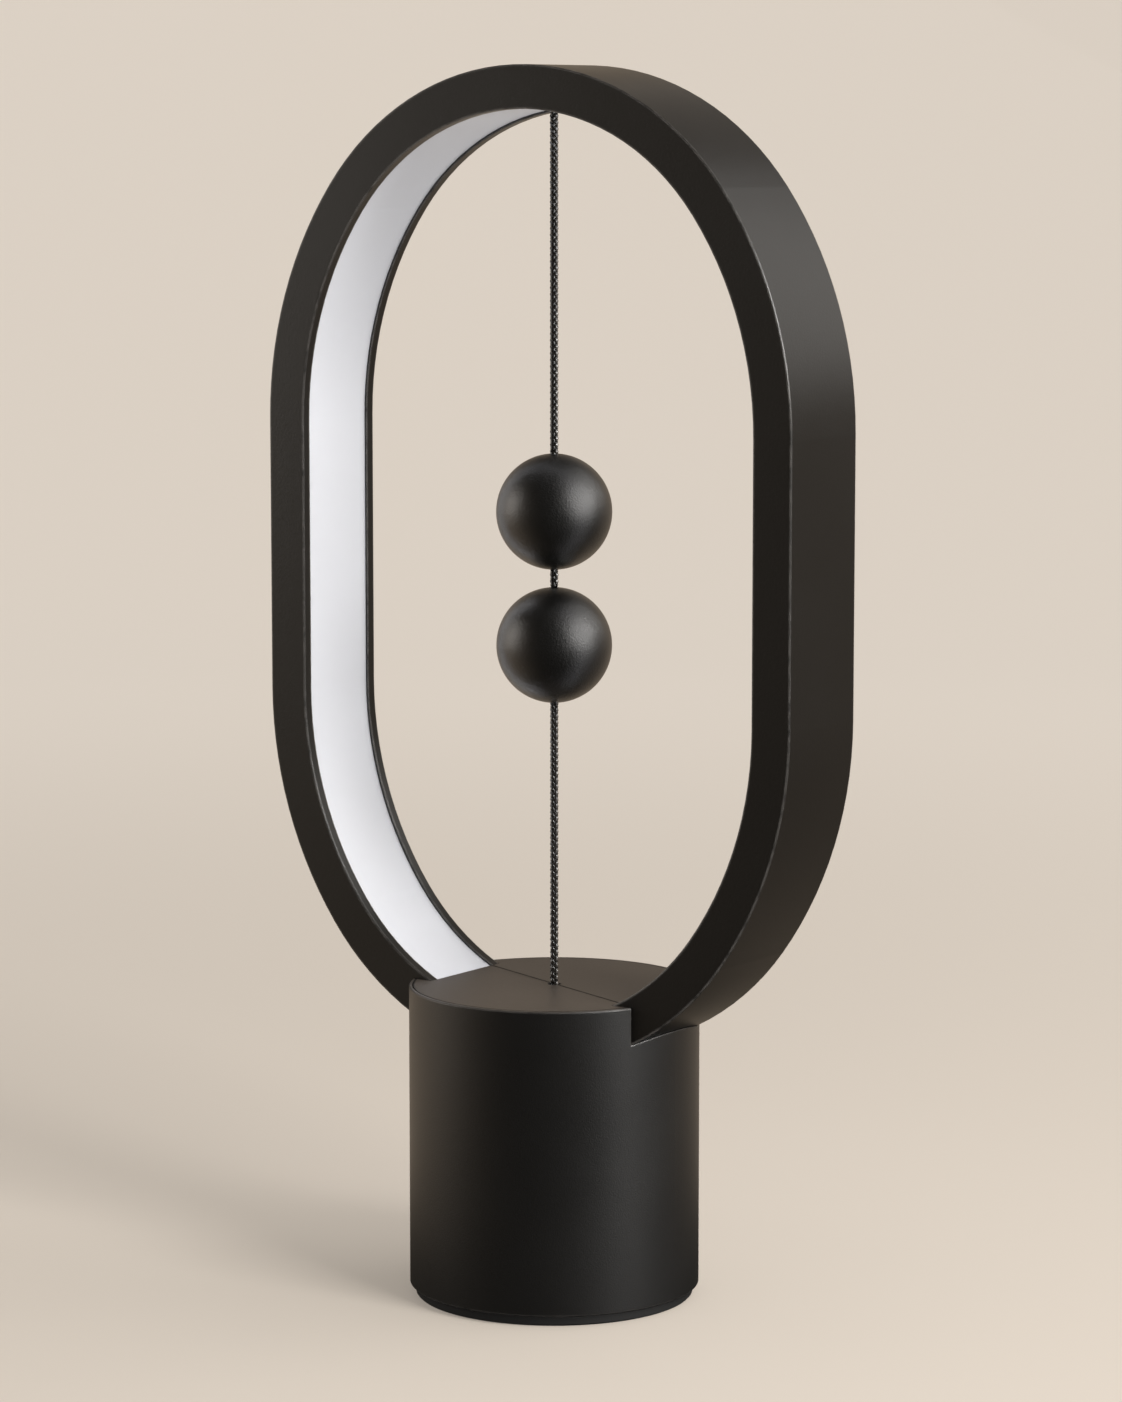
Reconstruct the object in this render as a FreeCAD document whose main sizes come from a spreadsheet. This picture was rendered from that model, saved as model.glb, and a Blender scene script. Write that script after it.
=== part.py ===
import FreeCAD, Part
import math
import os
import re
import Sketcher

# Magnetic balance lamp. Millimetres, +Z up. The origin is the middle of the foot's underside,
# the oval ring stands in the XZ plane, and the front of the lamp faces -Y.

SIZES = {
    # oval ring: a channel that is open towards the middle of the oval
    "ring_half_width": 102,
    "ring_half_height": 160,
    "ring_sink": 22.5,
    "ring_shoulder_radius": 128,
    "ring_join_angle": 36.87,
    "ring_depth": 38,
    "ring_band": 14,
    "ring_web": 2.5,
    "ring_flange": 3.5,
    "ring_ledge": 1.5,
    "ring_edge_round": 0.4,
    "ring_end_x": 24,
    # opal diffuser that closes the channel
    "diffuser_thick": 2,
    "diffuser_recess": 0.8,
    "diffuser_gap": 0.15,
    "diffuser_end_gap": 2,
    # lights on the channel's web
    "strip_width": 10,
    "strip_thick": 0.4,
    "strip_end_gap": 3,
    "strip_top_gap": 1,
    "chip_length": 3.5,
    "chip_width": 2.8,
    "chip_height": 0.7,
    "chip_seat": 0.03,
    "chip_pitch": 15,
    # base cup, a deep cup with two notches for the ring
    "foot_height": 3.3,
    "foot_radius": 45.5,
    "cup_radius": 47.5,
    "cup_height": 99.2,
    "cup_wall": 2.5,
    "cup_floor": 3,
    "cup_edge": 0.5,
    "rim_lip": 1,
    "rim_edge": 0.35,
    "notch_gap": 0.15,
    # the two top covers
    "cover_thick": 2.4,
    "cover_gap": 0.25,
    "seam_gap": 0.24,
    "seam_angle": 22,
    "cord_hole_radius": 2.3,
    "peg_radius": 2.5,
    "peg_length": 13,
    "peg_end_gap": 0.5,
    "peg_inset": 5.3,
    "peg_angle": 49,
    # counterweight and the tie screws that hold the base together
    "weight_side_gap": 1.5,
    "tie_inset": 5.4,
    "tie_angle": 43,
    "tie_screw_radius": 2,
    "tie_head_radius": 3.6,
    "tie_head_height": 1.5,
    "tie_grip": 22,
    "screw_gap": 0.2,
    "thread_gap": 0.05,
    # power inlet at the back
    "inlet_height": 22,
    "inlet_barrel_radius": 4,
    "inlet_bore_radius": 3.1,
    "inlet_bore_depth": 9,
    "inlet_pin_radius": 1,
    "inlet_pin_setback": 1.2,
    "inlet_pin_root": 2.5,
    "inlet_block_half": 6,
    "inlet_block_depth": 14,
    "inlet_setback": 0.4,
    "inlet_slack": 0.3,
    # driver board
    "standoff_height": 6,
    "standoff_radius": 2.5,
    "board_gap_x": 4,
    "board_gap_y": 3,
    "board_thick": 1.6,
    "board_screw_inset": 3.5,
    "board_screw_radius": 1.2,
    "board_head_radius": 2.2,
    "board_head_height": 1.5,
    "board_screw_end": 1,
    "terminal_long": 7,
    "terminal_wide": 6,
    "terminal_tall": 6.4,
    "terminal_edge_x": 5,
    "terminal_edge_y": 11,
    "back_terminal_edge": 6,
    "front_terminal_x": 13,
    "capacitor_radius": 5,
    "capacitor_height": 12,
    "capacitor_top_gap": 4.4,
    "capacitor_x": -12,
    "capacitor_y": -8,
    "choke_side": 9,
    "choke_height": 6,
    "choke_y": 2,
    "chip_pad_x": 9,
    "driver_chip_side": 5,
    "driver_chip_gap": 1,
    "driver_chip_height": 1.5,
    # cradle that carries the ring's two ends
    "cradle_leg_radius": 4.2,
    "cradle_deck": 6,
    "cradle_height": 32,
    "cradle_top_gap": 8.1,
    "cradle_side_gap": 0.2,
    "cradle_ring_gap": 0.1,
    "well_half": 22,
    "lead_hole_radius": 2.4,
    "lead_hole_shift": 0.8,
    # screws that hold the ring's ends
    "ring_screw_inset": 8.7,
    "ring_screw_y": 9,
    "ring_screw_radius": 1.5,
    "ring_screw_length": 9,
    "ring_head_radius": 2.7,
    "ring_head_height": 1.6,
    "ring_head_seat": 0.05,
    # pull switch
    "frame_half": 8,
    "frame_foot": 3,
    "frame_end_gap": 0.4,
    "frame_height": 27,
    "frame_roof": 4,
    "frame_screw_x": 19,
    "frame_screw_y": 5.6,
    "frame_screw_radius": 1,
    "frame_head_radius": 1.9,
    "frame_head_height": 1.2,
    "frame_screw_length": 7,
    "plunger_radius": 5,
    "plunger_height": 8,
    "plunger_top_gap": 4.1,
    "plunger_travel": 3,
    "slide_gap": 0.06,
    "tab_half_width": 2,
    "tab_reach": 11,
    "tab_thick": 2,
    "tab_gap": 0.15,
    "tab_end_gap": 0.5,
    "ferrule_radius": 2.6,
    "ferrule_height": 3.6,
    "ferrule_gap": 0.06,
    "bush_radius": 2.5,
    "bush_flange_radius": 3.6,
    "bush_flange": 1,
    "bush_flare": 0.5,
    "cord_gap": 0.1,
    "spring_radius": 3.4,
    "spring_wire": 0.7,
    "spring_turns": 7,
    "switch_length": 12.8,
    "switch_half_width": 2.9,
    "switch_height": 6.5,
    "switch_start": 8.6,
    "ear_length": 1.9,
    "ear_height": 2.1,
    "ear_thick": 0.8,
    "lever_thick": 0.4,
    "lever_length": 11,
    "lever_rise": 2.6,
    "lever_pin_radius": 0.4,
    "lever_pin_height": 1.1,
    "lever_pin_inset": 0.9,
    "lever_hub_wall": 0.2,
    "lever_side_gap": 0.2,
    "button_radius": 0.8,
    "button_x": 16.5,
    "button_proud": 1.6,
    "button_depth": 1,
    "button_travel": 1,
    # cords
    "cord_radius": 1.4,
    "cord_end_height": 1.7,
    "lead_radius": 0.8,
    "lead_gap": 0.2,
    # balls
    "ball_radius": 18.75,
    "upper_ball_rise": 17.3,
    "ball_space": 5.8,
    "ball_pocket": 13,
    "ball_blind_pocket": 4,
    "ball_cord_gap": 0.3,
    "ball_mouth": 0.6,
    "magnet_radius": 9,
    "magnet_bore": 1.9,
    "magnet_thick": 6,
    "crimp_radius": 2.6,
    "crimp_length": 5,
    "cord_in_crimp": 4.5,
    "tail_gap": 0.3,
    # swivel at the top of the ring
    "pivot_drop": 8.8,
    "bead_radius": 3.2,
    "bead_gap": 0.1,
    "anchor_half_x": 9,
    "anchor_side_gap": 0.2,
    "anchor_bottom": 10.7,
    "anchor_screw_y": 10,
    "anchor_screw_radius": 1,
    "anchor_head_radius": 1.9,
    "anchor_head_height": 1.3,
    "anchor_head_depth": 3,
    "anchor_thread": 1.7,
    "bush_outer": 5.5,
    "bush_lip_radius": 6.6,
    "bush_throat": 2.8,
    "bush_mouth": 4.7,
    "bush_lip_gap": 0.05,
    "bush_top_gap": 0.3,
}

# Values worked out from the sizes above.
DERIVED = {
    # base levels
    "base_top": "foot_height + cup_height",
    "cup_inside": "cup_radius - cup_wall",
    "cover_bottom": "base_top - cover_thick",
    "cradle_top": "cover_bottom - cradle_top_gap",
    "deck_bottom": "cradle_top - cradle_height",
    "deck_top": "deck_bottom + cradle_deck",
    "board_top": "deck_bottom - capacitor_top_gap - capacitor_height",
    "board_bottom": "board_top - board_thick",
    "terminal_top": "board_top + terminal_tall",
    "weight_top": "board_bottom - standoff_height",
    "weight_bottom": "foot_height + cup_floor",
    "weight_height": "weight_top - weight_bottom",
    "weight_radius": "cup_inside - weight_side_gap",
    # places inside the base
    "tie_x": "(cup_inside - tie_inset) * cos(tie_angle)",
    "tie_y": "(cup_inside - tie_inset) * sin(tie_angle)",
    "peg_x": "(cup_inside - peg_inset) * cos(peg_angle)",
    "peg_y": "(cup_inside - peg_inset) * sin(peg_angle)",
    "board_half_x": "tie_x - board_gap_x",
    "board_half_y": "tie_y - board_gap_y",
    "board_screw_x": "board_half_x - board_screw_inset",
    "board_screw_y": "board_half_y - board_screw_inset",
    "terminal_x": "well_half - terminal_edge_x",
    "terminal_y": "board_half_y - terminal_edge_y",
    "chip_pad_y": "driver_chip_side + driver_chip_gap + terminal_wide / 2 - terminal_y",
    "lead_hole_y": "terminal_y - lead_hole_shift",
    # The oval is made of two straight sides, four shoulder arcs and two crown arcs, all tangent.
    "total_height": "base_top - ring_sink + 2 * ring_half_height",
    "ring_z": "total_height - ring_half_height",
    # A shoulder turns by the join angle before its crown takes over.
    "join_x": "cos(ring_join_angle)",
    "join_z": "sin(ring_join_angle)",
    "shoulder_x": "ring_shoulder_radius - ring_half_width",
    "crown_radius": "(ring_half_width - ring_shoulder_radius * (1 - join_x)) / join_x",
    "crown_offset": "ring_half_height - crown_radius",
    "ring_rise": "ring_shoulder_radius * join_z + crown_radius * (1 - join_z)",
    "ring_straight_half": "ring_half_height - ring_rise",
    "low_crown_z": "ring_z - crown_offset",
    "high_crown_z": "ring_z + crown_offset",
    "ring_screw_angle": "asin((ring_end_x + ring_screw_inset) / crown_radius)",
    "diffuser_back": "ring_band - diffuser_recess - diffuser_thick",
    "diffuser_front": "ring_band - diffuser_recess",
    "groove_half": "ring_depth / 2 - ring_flange",
    "anchor_half_y": "groove_half - ring_ledge - anchor_side_gap",
    "strip_face": "ring_web + strip_thick",
    # where the ring's inner face passes the top of the covers
    "cover_slot_x": "sqrt((crown_radius - ring_band)^2 - (low_crown_z - base_top)^2)",
    # inlet
    "inlet_face": "cup_radius - inlet_setback",
    "inlet_block_front": "sqrt(cup_inside^2 - inlet_block_half^2) - inlet_slack",
    "inlet_block_back": "inlet_block_front - inlet_block_depth",
    "inlet_bore_end": "inlet_face - inlet_bore_depth",
    # pull switch
    "foot_top": "deck_top + frame_foot",
    "roof_bottom": "foot_top + frame_height - frame_roof",
    "roof_top": "foot_top + frame_height",
    "plunger_top": "roof_bottom - plunger_top_gap",
    "plunger_bottom": "plunger_top - plunger_height",
    "switch_top": "foot_top + switch_height",
    "switch_end": "switch_start + switch_length",
    "lever_pin_x": "switch_end - lever_pin_inset",
    "lever_pin_z": "switch_top + lever_pin_height",
    "cord_low_end": "plunger_bottom + cord_end_height",
    # balls and swivel
    "upper_ball_z": "ring_z + upper_ball_rise",
    "lower_ball_z": "upper_ball_z - 2 * ball_radius - ball_space",
    "pivot_z": "total_height - pivot_drop",
    "socket_radius": "bead_radius + bead_gap",
    "tail_end": "lower_ball_z + ball_radius + tail_gap",
    "bush_lip_top": "high_crown_z - bush_lip_gap"
    " + sqrt((crown_radius - diffuser_front)^2 - bush_lip_radius^2)",
    "anchor_lower_z": "total_height - anchor_bottom",
    "anchor_head_top": "anchor_lower_z + anchor_head_depth",
    "lower_magnet_start": "lower_ball_z + ball_pocket - magnet_thick",
    "lower_crimp_start": "lower_magnet_start - crimp_length",
    "lower_cord_top": "lower_crimp_start + cord_in_crimp",
    "upper_magnet_start": "upper_ball_z - ball_pocket",
    "upper_crimp_start": "upper_magnet_start + magnet_thick",
}

OVER = 1  # how far a cutting tool runs past the solid that it cuts
SIDES = (("left", -1), ("right", 1))
CORNERS = ((1, 1), (-1, 1), (-1, -1), (1, -1))
FORWARD = FreeCAD.Rotation(FreeCAD.Vector(1, 0, 0), 90)  # turns a cylinder to point along -Y
nodes = []

doc = FreeCAD.newDocument("balance_lamp")


def fill_sheet(name, cells):
    """One spreadsheet row for each value, with its name as the alias."""
    sheet = doc.addObject("Spreadsheet::Sheet", name)
    for row, (alias, content) in enumerate(cells.items(), start=1):
        sheet.set(f"A{row}", alias)
        sheet.set(f"B{row}", str(content))
        sheet.setAlias(f"B{row}", alias)
    doc.recompute()
    return sheet


def bound(text):
    """The expression with each value's name led by the name of its sheet."""

    def lead_name(found):
        word = found.group(0)
        if word in SIZES:
            return f"Dims.{word}"
        return f"Derived.{word}" if word in DERIVED else word

    return re.sub(r"[a-z_]\w*", lead_name, str(text))


fill_sheet("Dims", SIZES)
worked_out = fill_sheet("Derived", {alias: f"={bound(text)}" for alias, text in DERIVED.items()})


def size(text):
    """The value of an expression, in millimetres or degrees."""
    return float(worked_out.evalExpression(bound(text)))


def tie(thing, path, text):
    thing.setExpression(path, bound(text))


def place(thing, x=0, y=0, z=0):
    for letter, text in zip("xyz", (x, y, z)):
        tie(thing, f"Placement.Base.{letter}", text)


def keep(thing, label):
    """Marks an object as a finished sub-part, whose label is its name."""
    thing.Label = label
    nodes.append(thing)
    return thing


# ---- primitives and booleans, bound to the sheets ----


def cylinder(name, radius, height, x=0, y=0, z=0, turn=None):
    """A cylinder along +Z, or along another axis when turn is a rotation."""
    thing = doc.addObject("Part::Cylinder", name)
    if turn is not None:
        thing.Placement = FreeCAD.Placement(FreeCAD.Vector(), turn)
    tie(thing, "Radius", radius)
    tie(thing, "Height", height)
    place(thing, x, y, z)
    return thing


def box(name, low, high):
    """A box from its low corner to its high corner."""
    thing = doc.addObject("Part::Box", name)
    for side, start, end in zip(("Length", "Width", "Height"), low, high):
        tie(thing, side, f"({end}) - ({start})")
    place(thing, *low)
    return thing


def sphere(name, radius, z, lowest=-90, highest=90):
    thing = doc.addObject("Part::Sphere", name)
    thing.Angle1 = lowest
    thing.Angle2 = highest
    tie(thing, "Radius", radius)
    place(thing, z=z)
    return thing


def joined(name, pieces):
    if len(pieces) == 1:
        return pieces[0]
    thing = doc.addObject("Part::MultiFuse", name)
    thing.Shapes = pieces
    return thing


def cut(name, blank, tools):
    thing = doc.addObject("Part::Cut", name)
    thing.Base = blank
    thing.Tool = joined(f"{name}_tools", tools)
    return thing


def group(name, pieces):
    """Separate solids that share one node."""
    thing = doc.addObject("Part::Compound", name)
    thing.Links = pieces
    return thing


# ---- sketches and bodies ----


def new_body(name):
    return doc.addObject("PartDesign::Body", name)


def new_sketch(body, name, role, level=None):
    """A sketch on one of the body's origin planes, or at a height above it."""
    sketch = body.newObject("Sketcher::SketchObject", name)
    plane = [item for item in body.Origin.OriginFeatures if item.Role == role]
    sketch.AttachmentSupport = [(plane[0], "")]
    sketch.MapMode = "FlatFace"
    if level is not None:
        tie(sketch, "AttachmentOffset.Base.z", level)
    return sketch


def fix_point(sketch, edge, end, across, up):
    """Holds one end of an edge at a place that is measured from the sketch's origin."""
    for kind, text in (("DistanceX", across), ("DistanceY", up)):
        rule = Sketcher.Constraint(kind, -1, 1, edge, end, size(text))
        tie(sketch, f"Constraints[{sketch.addConstraint(rule)}]", text)


def draw_polygon(sketch, points):
    """A closed outline of straight lines, with each corner held by the sheets."""
    spots = [FreeCAD.Vector(size(across), size(up), 0) for across, up in points]
    lines = [
        sketch.addGeometry(Part.LineSegment(spot, spots[(i + 1) % len(spots)]))
        for i, spot in enumerate(spots)
    ]
    for i, (line, point) in enumerate(zip(lines, points)):
        sketch.addConstraint(Sketcher.Constraint("Coincident", line, 1, lines[i - 1], 2))
        fix_point(sketch, line, 1, *point)


def draw_circle(sketch, radius, across=0, up=0):
    middle = FreeCAD.Vector(size(across), size(up), 0)
    ring = sketch.addGeometry(Part.Circle(middle, FreeCAD.Vector(0, 0, 1), size(radius)))
    fix_point(sketch, ring, 3, across, up)
    rule = Sketcher.Constraint("Radius", ring, size(radius))
    tie(sketch, f"Constraints[{sketch.addConstraint(rule)}]", radius)


def oval_corners(inset):
    """Where the arcs of the oval meet, counter-clockwise from the right side, with each arc's radius."""
    shoulder = f"(ring_shoulder_radius - ({inset}))"
    side = f"(ring_half_width - ({inset}))"
    join_x = f"({shoulder} * join_x - shoulder_x)"
    join_z = f"(ring_straight_half + {shoulder} * join_z)"
    crown = f"(crown_radius - ({inset}))"
    quarter = [
        (side, "ring_z - ring_straight_half", None),
        (side, "ring_z + ring_straight_half", shoulder),
        (join_x, f"ring_z + {join_z}", crown),
        (f"-{join_x}", f"ring_z + {join_z}", shoulder),
    ]
    half = [
        (f"-{side}", "ring_z + ring_straight_half", None),
        (f"-{side}", "ring_z - ring_straight_half", shoulder),
        (f"-{join_x}", f"ring_z - {join_z}", crown),
        (join_x, f"ring_z - {join_z}", shoulder),
    ]
    return quarter + half


def arc_between(start, end, radius):
    """The arc of less than half a turn from start to end that bulges to the right of its chord."""
    chord = end - start
    across = FreeCAD.Vector(chord.y, -chord.x, 0)
    across.normalize()
    sagitta = radius - math.sqrt(radius**2 - (chord.Length / 2) ** 2)
    return Part.Arc(start, (start + end) / 2 + across * sagitta, end)


def draw_outline(sketch, corners):
    """A closed outline of arcs and lines; each corner gives its place and the radius that follows it."""
    spots = [FreeCAD.Vector(size(across), size(up), 0) for across, up, _ in corners]
    edges = []
    for i, (_, _, radius) in enumerate(corners):
        start = spots[i]
        end = spots[(i + 1) % len(spots)]
        edge = Part.LineSegment(start, end) if radius is None else arc_between(start, end, size(radius))
        edges.append(sketch.addGeometry(edge))
    for i, (across, up, radius) in enumerate(corners):
        sketch.addConstraint(Sketcher.Constraint("Coincident", edges[i], 1, edges[i - 1], 2))
        fix_point(sketch, edges[i], 1, across, up)
        if radius is not None:
            rule = Sketcher.Constraint("Radius", edges[i], size(radius))
            tie(sketch, f"Constraints[{sketch.addConstraint(rule)}]", radius)


def draw_oval(sketch, inset):
    """The oval's outline, moved inwards by inset all round."""
    draw_outline(sketch, oval_corners(inset))


def pad(body, sketch, length, symmetric=False):
    feature = body.newObject("PartDesign::Pad", f"{sketch.Name}_pad")
    feature.Profile = sketch
    tie(feature, "Length", length)
    feature.SideType = "Symmetric" if symmetric else "One side"
    sketch.Visibility = False
    body.Tip = feature
    return feature


def pocket(body, sketch, length, symmetric=True):
    feature = body.newObject("PartDesign::Pocket", f"{sketch.Name}_pocket")
    feature.Profile = sketch
    tie(feature, "Length", length)
    feature.SideType = "Symmetric" if symmetric else "One side"
    body.Tip = feature
    return feature


def turned(name, profile):
    """A body of revolution about Z; profile is a list of (radius, height)."""
    body = new_body(name)
    sketch = new_sketch(body, f"{name}_profile", "XZ_Plane")
    draw_polygon(sketch, profile)
    feature = body.newObject("PartDesign::Revolution", f"{name}_turn")
    feature.Profile = sketch
    feature.ReferenceAxis = (sketch, ["V_Axis"])
    feature.Angle = 360
    body.Tip = feature
    return body


def band(name, outer, inner, width):
    """A closed oval band between two insets, width deep and centred on the XZ plane."""
    body = new_body(name)
    sketch = new_sketch(body, f"{name}_outline", "XZ_Plane")
    draw_oval(sketch, outer)
    draw_oval(sketch, inner)
    pad(body, sketch, width, symmetric=True)
    return body


# ---- ring ----

FAR = "(2 * total_height)"  # beyond the lamp in every direction


def below_notch(body, name, half, width):
    """Opens an oval band at the bottom; its ends stand inside the base and are square to the band."""
    sketch = new_sketch(body, f"{name}_gap", "XZ_Plane")
    deep = f"low_crown_z - 2 * sqrt(crown_radius^2 - ({half})^2)"
    draw_polygon(sketch, [(0, "low_crown_z"), (f"-2 * ({half})", deep), (f"2 * ({half})", deep)])
    pocket(body, sketch, width)


def make_ring_channel():
    """The bent channel: a web all round, two flanges, and a ledge in each that the diffuser rests on."""
    body = band("ring_channel_band", 0, "ring_band", "ring_depth")
    doc.recompute()
    blank = body.Tip
    solid = blank.Shape
    round_edges = set()
    for face in solid.Faces:
        if abs(abs(face.normalAt(0, 0).y) - 1) < 1e-6:
            round_edges.update(i for i, edge in enumerate(solid.Edges, start=1)
                               if any(edge.isSame(other) for other in face.Edges))
    fillet = body.newObject("PartDesign::Fillet", "ring_edges")
    fillet.Base = (blank, [f"Edge{i}" for i in sorted(round_edges)])
    tie(fillet, "Radius", "ring_edge_round")
    body.Tip = fillet
    for name, floor, half in (("channel", "ring_web", "groove_half - ring_ledge"),
                              ("rebate", "diffuser_back", "groove_half")):
        sketch = new_sketch(body, f"ring_{name}_outline", "XZ_Plane")
        draw_oval(sketch, floor)
        draw_oval(sketch, f"(ring_band + {OVER})")
        pocket(body, sketch, f"2 * ({half})")
    below_notch(body, "ring", "ring_end_x", FAR)
    holes = ring_screw_tools("ring_hole", "ring_screw_radius + screw_gap", f"-ring_web - {OVER}",
                             f"ring_web + 2 * {OVER}")
    holes += anchor_screw_cylinders("anchor_thread", "anchor_screw_radius + thread_gap",
                                    f"total_height - ring_web - {OVER}",
                                    "total_height - ring_web + anchor_thread + thread_gap")
    keep(cut("ring_channel_cut", body, holes), "ring_channel")


def ring_screw_tools(name, radius, start, length):
    """Four cylinders square to the ring's outer face at its ends; start is measured from that face."""
    tools = []
    for along in (-1, 1):
        angle = size("ring_screw_angle") * along
        outward = FreeCAD.Rotation(FreeCAD.Vector(0, 1, 0), 180 - angle)
        reach = f"(crown_radius + ({start}))"
        for across in (-1, 1):
            tools.append(cylinder(
                f"{name}_{along}_{across}".replace("-", "m"), radius, length,
                x=f"{along} * {reach} * sin(ring_screw_angle)",
                y=f"{across} * ring_screw_y",
                z=f"low_crown_z - {reach} * cos(ring_screw_angle)",
                turn=outward,
            ))
    return tools


def make_ring_screws():
    head_start = "(ring_web + ring_head_seat + ring_head_height)"
    shanks = ring_screw_tools("ring_shank", "ring_screw_radius", f"-{head_start}",
                              f"{head_start} + ring_screw_length")
    heads = ring_screw_tools("ring_head", "ring_head_radius", f"-{head_start}", "ring_head_height")
    screws = [joined(f"ring_screw_{i}", list(pair)) for i, pair in enumerate(zip(shanks, heads))]
    keep(group("ring_screw_set", screws), "ring_screws")


def make_diffuser():
    """The opal strip that closes the channel, with a hole at the top for the cord's bush."""
    body = band("diffuser_band", "diffuser_back", "diffuser_front", "2 * (groove_half - diffuser_gap)")
    below_notch(body, "diffuser", "ring_end_x + diffuser_end_gap", FAR)
    hole = cylinder("diffuser_hole", "bush_outer + notch_gap", "ring_band",
                    z=f"total_height - ring_band - {OVER}")
    keep(cut("diffuser_cut", body, [hole]), "diffuser")


def make_led_strips():
    """A flexible strip up each side of the ring, from its end in the base to the swivel at the top."""
    end = "(ring_end_x + strip_end_gap)"
    top = "(anchor_half_x + strip_top_gap)"
    for name, side in SIDES:
        body = band(f"strip_{name}_band", "ring_web", "strip_face", "strip_width")
        sketch = new_sketch(body, f"strip_{name}_trim", "XZ_Plane")
        draw_polygon(sketch, [
            (f"{-side} * {FAR}", FAR), (f"{-side} * {FAR}", 0), (f"{side} * {end}", 0),
            (f"{side} * {end}", "ring_z - ring_straight_half"),
            (f"{side} * {top}", "ring_z - ring_straight_half"), (f"{side} * {top}", FAR),
        ])
        pocket(body, sketch, FAR)
        keep(body, f"led_strip_{name}")


def side_path(side, inset):
    """The line up one side of the ring at an inset, from the low crown to the high crown."""
    corners = oval_corners(inset)
    spots = [FreeCAD.Vector(size(across), 0, size(up)) for across, up, _ in corners]
    radii = [None if radius is None else size(radius) for _, _, radius in corners]
    low = FreeCAD.Vector(0, 0, size(f"low_crown_z - crown_radius + ({inset})"))
    high = FreeCAD.Vector(0, 0, size(f"high_crown_z + crown_radius - ({inset})"))
    stops = [low, spots[7], spots[0], spots[1], spots[2], high]
    bends = [size(f"crown_radius - ({inset})"), radii[7], None, radii[1], radii[2]]
    edges = []
    for start, end, radius in zip(stops, stops[1:], bends):
        if radius is None:
            edges.append(Part.makeLine(start, end))
            continue
        chord = end - start
        outward = FreeCAD.Vector(chord.z, 0, -chord.x)
        outward.normalize()
        sagitta = radius - math.sqrt(radius**2 - (chord.Length / 2) ** 2)
        edges.append(Part.Arc(start, (start + end) / 2 + outward * sagitta, end).toShape())
    path = Part.Wire(edges)
    if side < 0:
        path = path.mirror(FreeCAD.Vector(), FreeCAD.Vector(1, 0, 0))
    return path


def make_led_chips():
    """The light-emitting chips, one every chip_pitch along each strip."""
    across = FreeCAD.Vector(0, 1, 0)
    seat = FreeCAD.Vector(-size("chip_length") / 2, -size("chip_width") / 2, size("chip_seat"))
    for name, side in SIDES:
        path = side_path(side, "strip_face")
        marks = path.discretize(2 * int(path.Length / size("chip_pitch")) + 1)
        chips = []
        for before, spot, after in zip(marks[::2], marks[1::2], marks[2::2]):
            low_end = spot.z < size("ring_z - ring_straight_half")
            if low_end and abs(spot.x) < size("ring_end_x + strip_end_gap + chip_length"):
                continue
            if not low_end and abs(spot.x) < size("anchor_half_x + chip_length"):
                continue
            chip = Part.makeBox(size("chip_length"), size("chip_width"), size("chip_height"))
            chip.translate(seat)
            inward = (after - before).cross(across) * side
            inward.normalize()
            turn = FreeCAD.Rotation(across.cross(inward), across, inward)
            chip.Placement = FreeCAD.Placement(spot, turn).multiply(chip.Placement)
            chips.append(chip)
        thing = doc.addObject("Part::Feature", f"chips_{name}")
        thing.Shape = Part.makeCompound(chips)
        keep(thing, f"led_chips_{name}")


# ---- base ----


def make_foot_pad():
    keep(turned("foot_pad_body", [
        (0, 0), ("foot_radius - cup_edge", 0), ("foot_radius", "cup_edge"),
        ("foot_radius", "foot_height"), (0, "foot_height"),
    ]), "foot_pad")


def tie_cylinders(name, radius, start, end):
    return [cylinder(f"{name}_{i}", radius, f"({end}) - ({start})", f"{sx} * tie_x", f"{sy} * tie_y", start)
            for i, (sx, sy) in enumerate(CORNERS)]


def make_base_cup():
    """The outer cup: its rim is rebated for the covers, and the ring's ends pass through two notches."""
    body = turned("base_cup_body", [
        (0, "foot_height"), ("cup_radius - cup_edge", "foot_height"),
        ("cup_radius", "foot_height + cup_edge"), ("cup_radius", "base_top - rim_edge"),
        ("cup_radius - rim_edge", "base_top"), ("cup_radius - rim_lip", "base_top"),
        ("cup_radius - rim_lip", "cover_bottom"), ("cup_inside", "cover_bottom"),
        ("cup_inside", "weight_bottom"), (0, "weight_bottom"),
    ])
    sketch = new_sketch(body, "ring_notches", "XZ_Plane")
    draw_oval(sketch, "-notch_gap")
    pocket(body, sketch, "ring_depth + 2 * notch_gap")
    holes = tie_cylinders("floor_hole", "tie_screw_radius + screw_gap", f"foot_height - {OVER}",
                          f"weight_bottom + {OVER}")
    holes += tie_cylinders("floor_seat", "tie_head_radius + screw_gap", f"foot_height - {OVER}",
                           "foot_height + tie_head_height")
    holes.append(cylinder("inlet_hole", "inlet_barrel_radius + screw_gap", f"2 * (cup_wall + {OVER})",
                          y=f"cup_radius + {OVER}", z="inlet_height",
                          turn=FORWARD))
    keep(cut("base_cup_cut", body, holes), "base_cup")


def make_tie_screws():
    start = "foot_height + screw_gap"
    shanks = tie_cylinders("tie_shank", "tie_screw_radius", start, "weight_top + tie_grip")
    heads = tie_cylinders("tie_head", "tie_head_radius", start, "foot_height + tie_head_height")
    screws = [joined(f"tie_screw_{i}", list(pair)) for i, pair in enumerate(zip(shanks, heads))]
    keep(group("tie_screw_set", screws), "tie_screws")


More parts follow.
